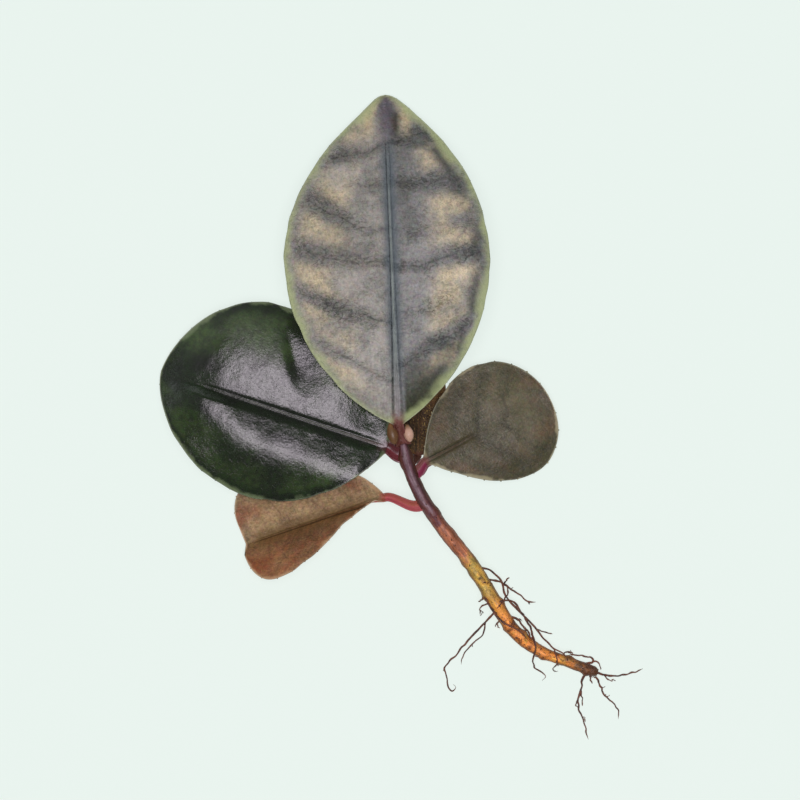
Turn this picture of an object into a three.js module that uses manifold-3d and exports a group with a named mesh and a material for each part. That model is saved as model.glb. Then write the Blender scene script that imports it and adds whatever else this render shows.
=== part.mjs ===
// A bare-root ardisia plant, laid down on a flat surface: a woody stem with five leathery leaves at
// its crown and fine branching roots on its lower half.
// Millimetres, +Z up. The pieces are placed with the crown of the stem near x = y = 0, the stem
// running away to the lower right, and the floor at z = 0. At the end the whole plant is moved so
// that the middle of its bounding box stands over the origin.
import * as THREE from "three";
import { mergeVertices } from "three/addons/utils/BufferGeometryUtils.js";
import Module from "manifold-3d";

// ---- Driving dimensions ----

const GAP = 0.3; // clear space between two neighbouring pieces

const STEM = {
  length: 56.5, // along the stem, from the crown to the cut lower end
  crownRadius: 1.05,
  middleRadius: 1.32,
  thickestAt: 0.455, // share of the length where it is thickest
  endRadius: 0.95,
  crownHeight: 7.4, // centre line above the floor at the crown
  endHeight: 1.0, // and at the lower end
  sag: 1.7, // 1 is a straight slope, more keeps the lower half near the floor
  route: [
    [0.3, 0.5], [1.8, -5], [4.2, -10], [7.8, -15.2], [12.2, -20.6],
    [15.6, -26], [18, -30], [21, -34], [25, -36.9], [29, -38.5], [35.3, -40.8],
  ],
  steps: 30,
  sides: 12,
};

const BLADE_THICKNESS = 0.8;
const PETIOLE_THICKNESS = 1.5;
const PETIOLE_BEND = 0.3; // share of a petiole's length over which it turns out of the stem
const BLADE_START = 0.17; // share of a blade over which the petiole's depth thins out into it
const MIDRIB_TIP = 0.3; // a midrib's width at the tip, as a share of its petiole's

// share: place on the stem, 0 at the crown. around: degrees round the stem, 0 at its right side,
// 90 on top. Headings are degrees in plan from +X. heights: midrib above the floor, evenly spaced
// from base to tip. left and right are the two half blades, seen from the base towards the tip:
// their width in plan, the share of the blade where they are widest, how slender they run to the
// base and to the tip (a small number is full and round, a large one is slender), the slope at which
// the half rises from the midrib, and how far its margin droops.
const LEAVES = {
  leaf_tall: {
    atCrown: true,
    petiole: { length: 3.3, heading: 104, halfWidth: 0.8 },
    blade: { length: 59.3, heading: 92.3 },
    left: { width: 19.2, widest: 0.5, toBase: 0.72, toTip: 0.92, slope: 0.02, droop: 1.6 },
    right: { width: 17.5, widest: 0.5, toBase: 0.78, toTip: 0.82, slope: 0.02, droop: 1.6 },
    heights: [8.4, 9.4, 9.3, 6.2, 0.5],
  },
  leaf_dark: {
    share: 0.03, around: 180,
    petiole: { length: 2.3, heading: 145, halfWidth: 0.8 },
    blade: { length: 43, heading: 161.5 },
    left: { width: 16.3, widest: 0.5, toBase: 0.75, toTip: 0.65, slope: 0, droop: 2.6 },
    right: { width: 18.3, widest: 0.6, toBase: 0.7, toTip: 0.58, slope: 0, droop: 3.6 },
    heights: [6.6, 6.3, 5.8, 4.0, 0.5],
  },
  leaf_right: {
    share: 0.1, around: 0,
    petiole: { length: 2.7, heading: 57, halfWidth: 0.8 },
    blade: { length: 24.4, heading: 28.3 },
    left: { width: 11, widest: 0.58, toBase: 0.85, toTip: 0.52, slope: 0.02, droop: 0.8 },
    right: { width: 11.1, widest: 0.64, toBase: 1.05, toTip: 0.45, slope: 0.02, droop: 1.2 },
    heights: [6.2, 6.0, 5.2, 3.4, 0.6],
  },
  leaf_folded: {
    share: 0.2, around: 180,
    petiole: { length: 6.1, heading: 165, halfWidth: 0.8 },
    blade: { length: 26.4, heading: 198.8 },
    left: { width: 7.8, widest: 0.86, toBase: 2.4, toTip: 0.3, slope: 0.9, droop: 0.4 },
    right: { width: 11.3, widest: 0.7, toBase: 0.65, toTip: 0.25, slope: 0.14, droop: 0.4 },
    heights: [3.2, 1.5, 0.8, 0.5, 0.45],
  },
  leaf_under: {
    share: 0.06, around: -20,
    petiole: { length: 1, heading: 55, halfWidth: 0.7 },
    blade: { length: 19, heading: 89 },
    left: { width: 4.9, widest: 0.55, toBase: 0.65, toTip: 0.6, slope: 0, droop: 0.3 },
    right: { width: 4.9, widest: 0.55, toBase: 0.65, toTip: 0.6, slope: 0, droop: 0.3 },
    heights: [4.2, 2.6, 1.7, 1.0, 0.5],
  },
};
const LEAF_STEPS = { petiole: 4, blade: 16, around: 16 };

// The buds at the crown. beside: to the right of the crown. beyond: past it. above: over its centre.
const BUDS = {
  bud: { length: 3.2, halfWidth: 0.65, beside: 1.5, beyond: 1.7, above: 0.6 },
  side_bud: { length: 2.4, halfWidth: 0.5, beside: -2.2, beyond: 1.5, above: 0.8 },
};
const BUD_SIDES = { around: 14, along: 10 };

// Each root leaves the stem at a share of its length, on one side, and runs through points given in
// plan from that place. over: it lies on top of the stem where the two cross, otherwise it stays
// beside it. lift carries a root clear of those that it crosses. A twig starts at the middle of its
// root, beside the first point given for it.
const ROOTS = {
  root_long: {
    share: 0.476, side: "right", radius: 0.19, over: true, lift: 0,
    run: [
      [1.4, -0.4], [3.5, -2.4], [4, -4.4], [5.3, -6.4], [9.5, -10.7], [12.5, -14.2], [14.8, -15.6],
      [15.4, -16.7],
    ],
    twigs: [
      [[10, -11.2], [11.1, -11.6], [12.8, -12]],
      [[13, -14.6], [13.3, -15.5], [13.5, -16.8], [13.7, -17.8]],
      [[14.6, -15.4], [15.4, -15.2], [16.4, -15.3]],
    ],
  },
  root_reach: {
    share: 0.52, side: "right", radius: 0.19, over: true, lift: 0.7,
    run: [[1.3, -0.2], [2.6, -0.8], [4, -1.9], [5.5, -2.8], [6.7, -3.9], [8.5, -4.1]],
    twigs: [
      [[3.4, -1.1], [3.5, -2.3], [3.1, -3.1], [2.3, -4.1], [1.2, -5.3]],
      [[2.9, -0.6], [3.3, -0.1], [3.7, 0.2]],
    ],
  },
  root_front: {
    share: 0.594, side: "top", radius: 0.19, over: true, lift: 1.4,
    run: [
      [1.3, 0.6], [2.7, 0.5], [3.8, -0.2], [4.5, -1.4], [5.6, -3], [6.3, -4.6], [6.9, -6.4], [7.1, -7.9],
      [6.8, -9.4], [6.7, -10.4], [7.1, -11.6], [8.1, -12.3], [8.9, -13.2], [8.5, -14],
    ],
    twigs: [],
  },
  root_short: {
    share: 0.66, side: "right", radius: 0.2, over: true, lift: 0,
    run: [[1, -0.3], [2, -1.5], [2.8, -2.5], [3.4, -3.5], [4.2, -4.2]],
    twigs: [],
  },
  root_edge: {
    share: 0.545, side: "left", radius: 0.2, over: true, lift: 0.7,
    run: [
      [0.8, -1.2], [1.4, -2.4], [2.2, -3.5], [3.1, -4.5], [4.6, -5.7], [6.1, -6.4], [7.4, -7.4],
      [8.3, -8.5],
    ],
    twigs: [[[0.2, -0.6], [-0.1, -1.2], [-0.7, -1.6]]],
  },
  root_west: {
    share: 0.618, side: "left", radius: 0.19, over: false, lift: 0,
    run: [
      [-1.8, -2], [-4.2, -4.6], [-5.6, -6.1], [-6.6, -7.6], [-7.8, -8.7], [-8.8, -10.1],
      [-8.5, -12.1], [-8.2, -13.6], [-7.4, -14.2], [-6.9, -13.6], [-7.3, -13],
    ],
    twigs: [[[-1.5, -1.8], [-2.1, -4.1], [-3.4, -5.2], [-4.4, -6.3], [-5.6, -7.8], [-5.8, -9.4]]],
  },
  root_hook: {
    share: 0.585, side: "left", radius: 0.14, over: false, lift: 0,
    run: [[-1.2, -0.6], [-1.5, -1.5], [-1.5, -2.1]],
    twigs: [],
  },
  root_spur: {
    share: 0.65, side: "left", radius: 0.14, over: false, lift: 0,
    run: [[-0.4, -0.6], [-0.3, -1.3]],
    twigs: [],
  },
  root_hair: {
    share: 0.872, side: "left", radius: 0.12, over: false, lift: 0,
    run: [[-0.5, -0.6], [-1, -1.2]],
    twigs: [],
  },
  root_loop: {
    share: 0.955, side: "right", radius: 0.18, over: false, lift: 0,
    run: [[1.1, 0.2], [1.4, 0.6], [0.9, 1.1], [-0.5, 1.4], [-2.8, 1.6]],
    twigs: [[[1.3, 0.3], [2.1, 0.3], [2.7, -0.5], [2.8, -1.2]]],
  },
  root_down: {
    share: 0.965, side: "left", radius: 0.18, over: false, lift: 0,
    run: [
      [-0.5, -1.2], [-0.8, -3.1], [-1.3, -4.8], [-1.2, -6.1], [-0.5, -8.3], [0.1, -10.2], [0.5, -12],
    ],
    twigs: [
      [[-0.8, -3.1], [-0.6, -4.4], [-0.5, -5.9]],
      [[-1.3, -4.9], [-1.5, -5.4], [-1.8, -5.9]],
    ],
  },
  root_slant: {
    share: 0.998, side: "left", radius: 0.17, over: false, lift: 0,
    run: [[0.6, -0.8], [1.2, -2.3], [1.7, -3.3], [2.6, -4.3], [3.6, -5.2], [4.1, -6], [4.2, -7.6]],
    twigs: [],
  },
  root_stub: {
    share: 0.982, side: "left", radius: 0.15, over: false, lift: 0,
    run: [[0.1, -0.9], [0.3, -1.7]],
    twigs: [],
  },
  root_east: {
    share: 1, side: "end", radius: 0.18, over: false, lift: 0,
    run: [[1.5, -0.5], [3.6, -0.6], [5.7, -0.2], [7.1, 0.2], [8.3, 0.6]],
    twigs: [[[1.2, -0.4], [1.9, -1.2], [2.8, -1.6]]],
  },
};
const ROOT_TAPER = 0.6; // tip radius as a share of the radius at the stem
const TWIG_RADIUS = 0.75; // a twig's radius as a share of its root's
const HILL_REACH = 3; // a root leaves the floor this many clear distances away from the stem
const ROOT_STEP = 0.9; // length of one step along a root
const ROOT_LEAST_STEPS = 4;
const ROOT_SIDES = 6;
const NEAR_SAMPLES = 120; // places tried along the stem when the nearest one is looked for

// ---- Small helpers ----

const degrees = THREE.MathUtils.degToRad;
const plan = (heading) => new THREE.Vector3(Math.cos(degrees(heading)), Math.sin(degrees(heading)), 0);
const UP = new THREE.Vector3(0, 0, 1);

// The horizontal direction a quarter turn to the right of a direction.
const rightOf = (direction) => new THREE.Vector3(direction.y, -direction.x, 0).normalize();

// Closed solid through a row of rings that all have the same number of points, each ring turning
// clockwise as seen from behind: right, down, left, up. Both ends are capped.
function loft(rings) {
  const count = rings[0].length;
  const centre = (ring) => ring.reduce((sum, p) => sum.add(p), new THREE.Vector3()).divideScalar(count);
  const points = rings.flat();
  const first = points.length;
  points.push(centre(rings[0]), centre(rings.at(-1)));
  const faces = [];
  for (let k = 0; k < count; k++) {
    const next = (k + 1) % count;
    for (let ring = 0; ring + 1 < rings.length; ring++) {
      const near = ring * count;
      const far = near + count;
      faces.push(near + k, near + next, far + k, near + next, far + next, far + k);
    }
    const lastRing = (rings.length - 1) * count;
    faces.push(first, next, k);
    faces.push(first + 1, lastRing + k, lastRing + next);
  }
  const geometry = new THREE.BufferGeometry().setFromPoints(points);
  geometry.setIndex(faces);
  geometry.computeVertexNormals();
  return geometry;
}

// Round limb along a curve, its radius given for each share of the length.
function limb(curve, radiusAt, steps, sides) {
  const rings = [];
  for (let i = 0; i <= steps; i++) {
    const share = i / steps;
    const ahead = curve.getTangentAt(share);
    const across = rightOf(ahead);
    const upward = new THREE.Vector3().crossVectors(across, ahead).normalize();
    const ring = [];
    for (let k = 0; k < sides; k++) {
      const angle = (2 * Math.PI * k) / sides;
      const point = curve.getPointAt(share);
      point.addScaledVector(across, Math.cos(angle) * radiusAt(share));
      point.addScaledVector(upward, -Math.sin(angle) * radiusAt(share));
      ring.push(point);
    }
    rings.push(ring);
  }
  return loft(rings);
}

const material = (color, roughness) => new THREE.MeshStandardMaterial({ color, roughness, metalness: 0 });

function piece(name, geometry, finish) {
  const mesh = new THREE.Mesh(geometry, finish);
  mesh.name = name;
  return mesh;
}

// ---- Joining solids ----

const wasm = await Module();
wasm.setup();

function solid(geometry) {
  const bare = geometry.clone();
  bare.deleteAttribute("normal");
  const merged = mergeVertices(bare);
  return new wasm.Manifold(new wasm.Mesh({
    numProp: 3,
    vertProperties: new Float32Array(merged.attributes.position.array),
    triVerts: new Uint32Array(merged.index.array),
  }));
}

function joined(geometries) {
  const whole = geometries.map(solid).reduce((sum, next) => sum.add(next)).getMesh();
  const geometry = new THREE.BufferGeometry();
  geometry.setAttribute("position", new THREE.BufferAttribute(new Float32Array(whole.vertProperties), 3));
  geometry.setIndex(Array.from(whole.triVerts));
  geometry.computeVertexNormals();
  return geometry;
}

// ---- Stem ----

const stemHeight = (share) =>
  STEM.endHeight + (STEM.crownHeight - STEM.endHeight) * Math.pow(1 - share, STEM.sag);

function stemCurve() {
  const drawn = new THREE.CatmullRomCurve3(STEM.route.map(([x, y]) => new THREE.Vector3(x, y, 0)));
  const scale = STEM.length / drawn.getLength();
  const points = [];
  for (let i = 0; i <= STEM.steps; i++) {
    const share = i / STEM.steps;
    const point = drawn.getPointAt(share).multiplyScalar(scale);
    points.push(point.setZ(stemHeight(share)));
  }
  return new THREE.CatmullRomCurve3(points);
}

const stemLine = stemCurve();

function stemRadius(share) {
  const swell = Math.sin(Math.PI * Math.min(1, share / (2 * STEM.thickestAt)));
  const ends = THREE.MathUtils.lerp(STEM.crownRadius, STEM.endRadius, share);
  return ends + (STEM.middleRadius - ends) * swell;
}

// The way straight out of the stem at a share of its length.
function outOfStem(share, around) {
  const ahead = stemLine.getTangentAt(share);
  const toRight = rightOf(ahead).negate(); // right as drawn on the page, with the crown at the top
  const upward = new THREE.Vector3().crossVectors(ahead, toRight).normalize();
  return toRight.multiplyScalar(Math.cos(degrees(around)))
    .addScaledVector(upward, Math.sin(degrees(around)));
}

// A place off the stem's surface, the clear gap away from it.
const offStem = (share, around) => stemLine.getPointAt(share)
  .addScaledVector(outOfStem(share, around), stemRadius(share) + GAP);

// Nearest place of the stem to a point in plan.
function nearestOnStem(x, y) {
  let best = { distance: Infinity };
  for (let i = 0; i <= NEAR_SAMPLES; i++) {
    const share = i / NEAR_SAMPLES;
    const centre = stemLine.getPointAt(share);
    const distance = Math.hypot(centre.x - x, centre.y - y);
    if (distance < best.distance) best = { distance, share, height: centre.z };
  }
  return best;
}

// ---- Leaves ----

// Half width of a half blade at a share of its length: a parabola on each side of the widest place,
// drawn full or slender by its power.
function halfWidth(share, half) {
  const beforeWidest = share < half.widest;
  const away = beforeWidest ? 1 - share / half.widest : (share - half.widest) / (1 - half.widest);
  const power = beforeWidest ? half.toBase : half.toTip;
  return half.width * Math.pow(Math.max(0, 1 - away * away), power);
}

// Where a petiole starts and which way it leaves the stem.
function leafFoot(leaf) {
  if (!leaf.atCrown) {
    return { foot: offStem(leaf.share, leaf.around), out: outOfStem(leaf.share, leaf.around) };
  }
  const out = stemLine.getTangentAt(0).negate();
  return { foot: stemLine.getPointAt(0).addScaledVector(out, GAP), out };
}

function leafGeometry(leaf) {
  const { petiole, blade, left, right, heights } = leaf;
  const { foot, out } = leafFoot(leaf);
  const base = foot.clone().addScaledVector(plan(petiole.heading), petiole.length).setZ(heights[0]);
  const midrib = new THREE.CatmullRomCurve3(heights.map((height, i) => base.clone()
    .addScaledVector(plan(blade.heading), (blade.length * i) / (heights.length - 1)).setZ(height)));

  // One ring: half widths to both sides, thickness in the middle, and the lift of the two halves.
  function section(centre, across, halfLeft, halfRight, thickness, share) {
    const ring = [];
    for (let k = 0; k < LEAF_STEPS.around; k++) {
      const angle = (2 * Math.PI * k) / LEAF_STEPS.around;
      const toRight = Math.cos(angle) > 0;
      const half = toRight ? right : left;
      const offset = Math.cos(angle) * (toRight ? halfRight : halfLeft);
      const out = Math.abs(offset);
      const lift = share * (half.slope * out - half.droop * (out / half.width) ** 2);
      const point = centre.clone().addScaledVector(across, offset);
      ring.push(point.addScaledVector(UP, lift + (thickness / 2) * Math.sin(angle)));
    }
    return ring.reverse();
  }

  const rings = [];
  const bend = petiole.length * PETIOLE_BEND;
  const stalk = new THREE.CubicBezierCurve3(
    foot,
    foot.clone().addScaledVector(out, bend),
    base.clone().addScaledVector(plan(blade.heading), -bend),
    base,
  );
  for (let i = 0; i < LEAF_STEPS.petiole; i++) {
    const share = i / LEAF_STEPS.petiole;
    const heading = stalk.getTangent(share);
    rings.push(section(stalk.getPoint(share), rightOf(heading), petiole.halfWidth, petiole.halfWidth,
      PETIOLE_THICKNESS, 0));
  }
  for (let i = 0; i <= LEAF_STEPS.blade; i++) {
    const share = (1 - Math.cos((Math.PI * i) / LEAF_STEPS.blade)) / 2;
    const stalkLeft = petiole.halfWidth * Math.max(MIDRIB_TIP, 1 - share);
    const flattened = Math.min(1, share / BLADE_START);
    rings.push(section(
      midrib.getPoint(share),
      rightOf(plan(blade.heading)),
      Math.max(stalkLeft, halfWidth(share, left)),
      Math.max(stalkLeft, halfWidth(share, right)),
      THREE.MathUtils.lerp(PETIOLE_THICKNESS, BLADE_THICKNESS, flattened),
      flattened,
    ));
  }
  return loft(rings);
}

// ---- Buds ----

function budMesh(name, { length, halfWidth, beside, beyond, above }, finish) {
  const mesh = piece(name, new THREE.SphereGeometry(1, BUD_SIDES.around, BUD_SIDES.along), finish);
  const crown = stemLine.getPointAt(0);
  mesh.scale.set(halfWidth, length / 2, halfWidth);
  mesh.position.set(crown.x + beside, crown.y + beyond, crown.z + above);
  return mesh;
}

// ---- Roots ----

function rootFoot(root) {
  const around = { right: 0, top: 90, left: 180, end: 0 }[root.side];
  if (root.side !== "end") return offStem(root.share, around);
  return stemLine.getPointAt(1).addScaledVector(stemLine.getTangentAt(1), GAP);
}

// Height of a root at a place in plan: it rests on the floor and climbs a hill towards the stem,
// over its top or up to its side.
function rootHeight(root, x, y) {
  const near = nearestOnStem(x, y);
  const clear = stemRadius(near.share) + GAP + root.radius;
  const rest = root.radius + root.lift;
  const crest = near.height + root.lift + (root.over ? clear : 0);
  const away = Math.min(1, near.distance / (HILL_REACH * clear));
  return rest + Math.max(0, crest - rest) * (1 + Math.cos(Math.PI * away)) / 2;
}

function rootPoints(root, foot, offsets) {
  const points = offsets.map(([x, y]) => new THREE.Vector3(foot.x + x, foot.y + y, 0));
  for (const point of points) point.setZ(rootHeight(root, point.x, point.y));
  return points;
}

const rootSteps = (curve) => Math.max(ROOT_LEAST_STEPS, Math.ceil(curve.getLength() / ROOT_STEP));

function rootLimb(points, radius) {
  const curve = new THREE.CatmullRomCurve3(points);
  const radiusAt = (share) => radius * THREE.MathUtils.lerp(1, ROOT_TAPER, share);
  return limb(curve, radiusAt, rootSteps(curve), ROOT_SIDES);
}

// The middle of the root's ring that lies nearest to a point in plan.
function nearestRing(points, target) {
  const curve = new THREE.CatmullRomCurve3(points);
  const distance = (point) => Math.hypot(point.x - target.x, point.y - target.y);
  return curve.getSpacedPoints(rootSteps(curve)).slice(1)
    .reduce((best, point) => (distance(point) < distance(best) ? point : best));
}

function rootGeometry(root) {
  const foot = rootFoot(root);
  const run = [foot, ...rootPoints(root, foot, root.run)];
  const limbs = [rootLimb(run, root.radius)];
  for (const twig of root.twigs) {
    const [start, ...rest] = rootPoints(root, foot, twig);
    limbs.push(rootLimb([nearestRing(run, start), ...rest], root.radius * TWIG_RADIUS));
  }
  return limbs.length === 1 ? limbs[0] : joined(limbs);
}

// ---- The plant ----

const bark = material(0x9c5f38, 0.55);
const rootSkin = material(0x513d3a, 0.7);
const budSkin = material(0xb18f7e, 0.5);
const leafSkins = {
  leaf_tall: material(0x85807b, 0.4),
  leaf_dark: material(0x3d4b30, 0.22),
  leaf_right: material(0x6b5f4c, 0.4),
  leaf_folded: material(0x8b7050, 0.45),
  leaf_under: material(0x5a4127, 0.5),
};

const pieces = new THREE.Group();
pieces.add(piece("stem", limb(stemLine, stemRadius, STEM.steps, STEM.sides), bark));
for (const [name, bud] of Object.entries(BUDS)) pieces.add(budMesh(name, bud, budSkin));
for (const [name, leaf] of Object.entries(LEAVES)) {
  pieces.add(piece(name, leafGeometry(leaf), leafSkins[name]));
}
for (const [name, root] of Object.entries(ROOTS)) {
  pieces.add(piece(name, rootGeometry(root), rootSkin));
}

// Stand the lowest point on the floor, with the middle of the plant over the origin.
const box = new THREE.Box3().setFromObject(pieces, true);
const middle = box.getCenter(new THREE.Vector3());
pieces.position.set(-middle.x, -middle.y, -box.min.z);

const plant = new THREE.Group();
plant.add(pieces);

export default plant;
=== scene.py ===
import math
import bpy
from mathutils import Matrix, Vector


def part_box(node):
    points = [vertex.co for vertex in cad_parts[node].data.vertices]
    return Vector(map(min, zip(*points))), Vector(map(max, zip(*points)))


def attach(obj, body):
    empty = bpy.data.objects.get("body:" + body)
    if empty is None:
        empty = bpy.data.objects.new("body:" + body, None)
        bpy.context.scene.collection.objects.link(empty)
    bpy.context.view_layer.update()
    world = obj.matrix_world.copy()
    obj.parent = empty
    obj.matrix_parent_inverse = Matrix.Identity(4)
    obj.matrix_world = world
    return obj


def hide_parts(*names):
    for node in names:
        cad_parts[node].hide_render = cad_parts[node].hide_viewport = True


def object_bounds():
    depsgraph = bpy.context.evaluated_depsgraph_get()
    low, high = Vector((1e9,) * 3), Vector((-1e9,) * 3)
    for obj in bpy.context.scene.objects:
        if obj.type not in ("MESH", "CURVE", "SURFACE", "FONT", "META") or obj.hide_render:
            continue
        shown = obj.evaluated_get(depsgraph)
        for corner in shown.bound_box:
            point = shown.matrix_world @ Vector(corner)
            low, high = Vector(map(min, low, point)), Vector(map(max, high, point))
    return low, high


bl_info = {
    "name": "Bare-root ardisia plant",
    "version": (1, 0, 0),
    "blender": (4, 5, 0),
    "location": "3D View > Sidebar > Ardisia",
    "description": "Leaves, stem, buds and roots of a small plant laid flat on a pale board",
    "category": "Add Mesh",
}

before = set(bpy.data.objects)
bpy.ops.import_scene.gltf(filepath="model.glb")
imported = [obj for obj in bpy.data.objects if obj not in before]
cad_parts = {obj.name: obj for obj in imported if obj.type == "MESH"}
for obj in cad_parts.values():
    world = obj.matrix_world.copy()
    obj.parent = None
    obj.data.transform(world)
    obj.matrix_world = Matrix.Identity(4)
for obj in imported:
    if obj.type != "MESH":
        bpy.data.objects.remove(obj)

import bpy
import numpy as np
from bpy.props import FloatProperty, FloatVectorProperty, IntProperty, PointerProperty
from mathutils import Vector

CAD_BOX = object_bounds()
MM = 0.001
BODY = "root"

# ---- The plant's own sizes, in millimetres, with the crown of the stem near x = y = 0 ----

STEM_ROUTE = [
    (0.3, 0.5), (1.8, -5), (4.2, -10), (7.8, -15.2), (12.2, -20.6),
    (15.6, -26), (18, -30), (21, -34), (25, -36.9), (29, -38.5), (35.3, -40.8),
]
STEM_STEPS = 30

# A knob on the stem: its place along it, the way it faces in plan in degrees, how far it stands
# out, and its length along the stem.
STEM_KNOBS = [
    (0.245, -30, 0.55, 1.3), (0.33, -25, 0.4, 1.0), (0.43, 150, 0.45, 1.0), (0.475, 150, 0.4, 0.9),
    (0.56, 215, 0.3, 0.8), (0.6, 20, 0.35, 0.8), (0.68, 240, 0.3, 0.7), (0.73, 60, 0.35, 0.8),
    (0.82, 250, 0.3, 0.7), (0.9, 70, 0.35, 0.7), (0.965, 240, 0.4, 0.6), (0.05, 200, 0.35, 1.6),
]

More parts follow.
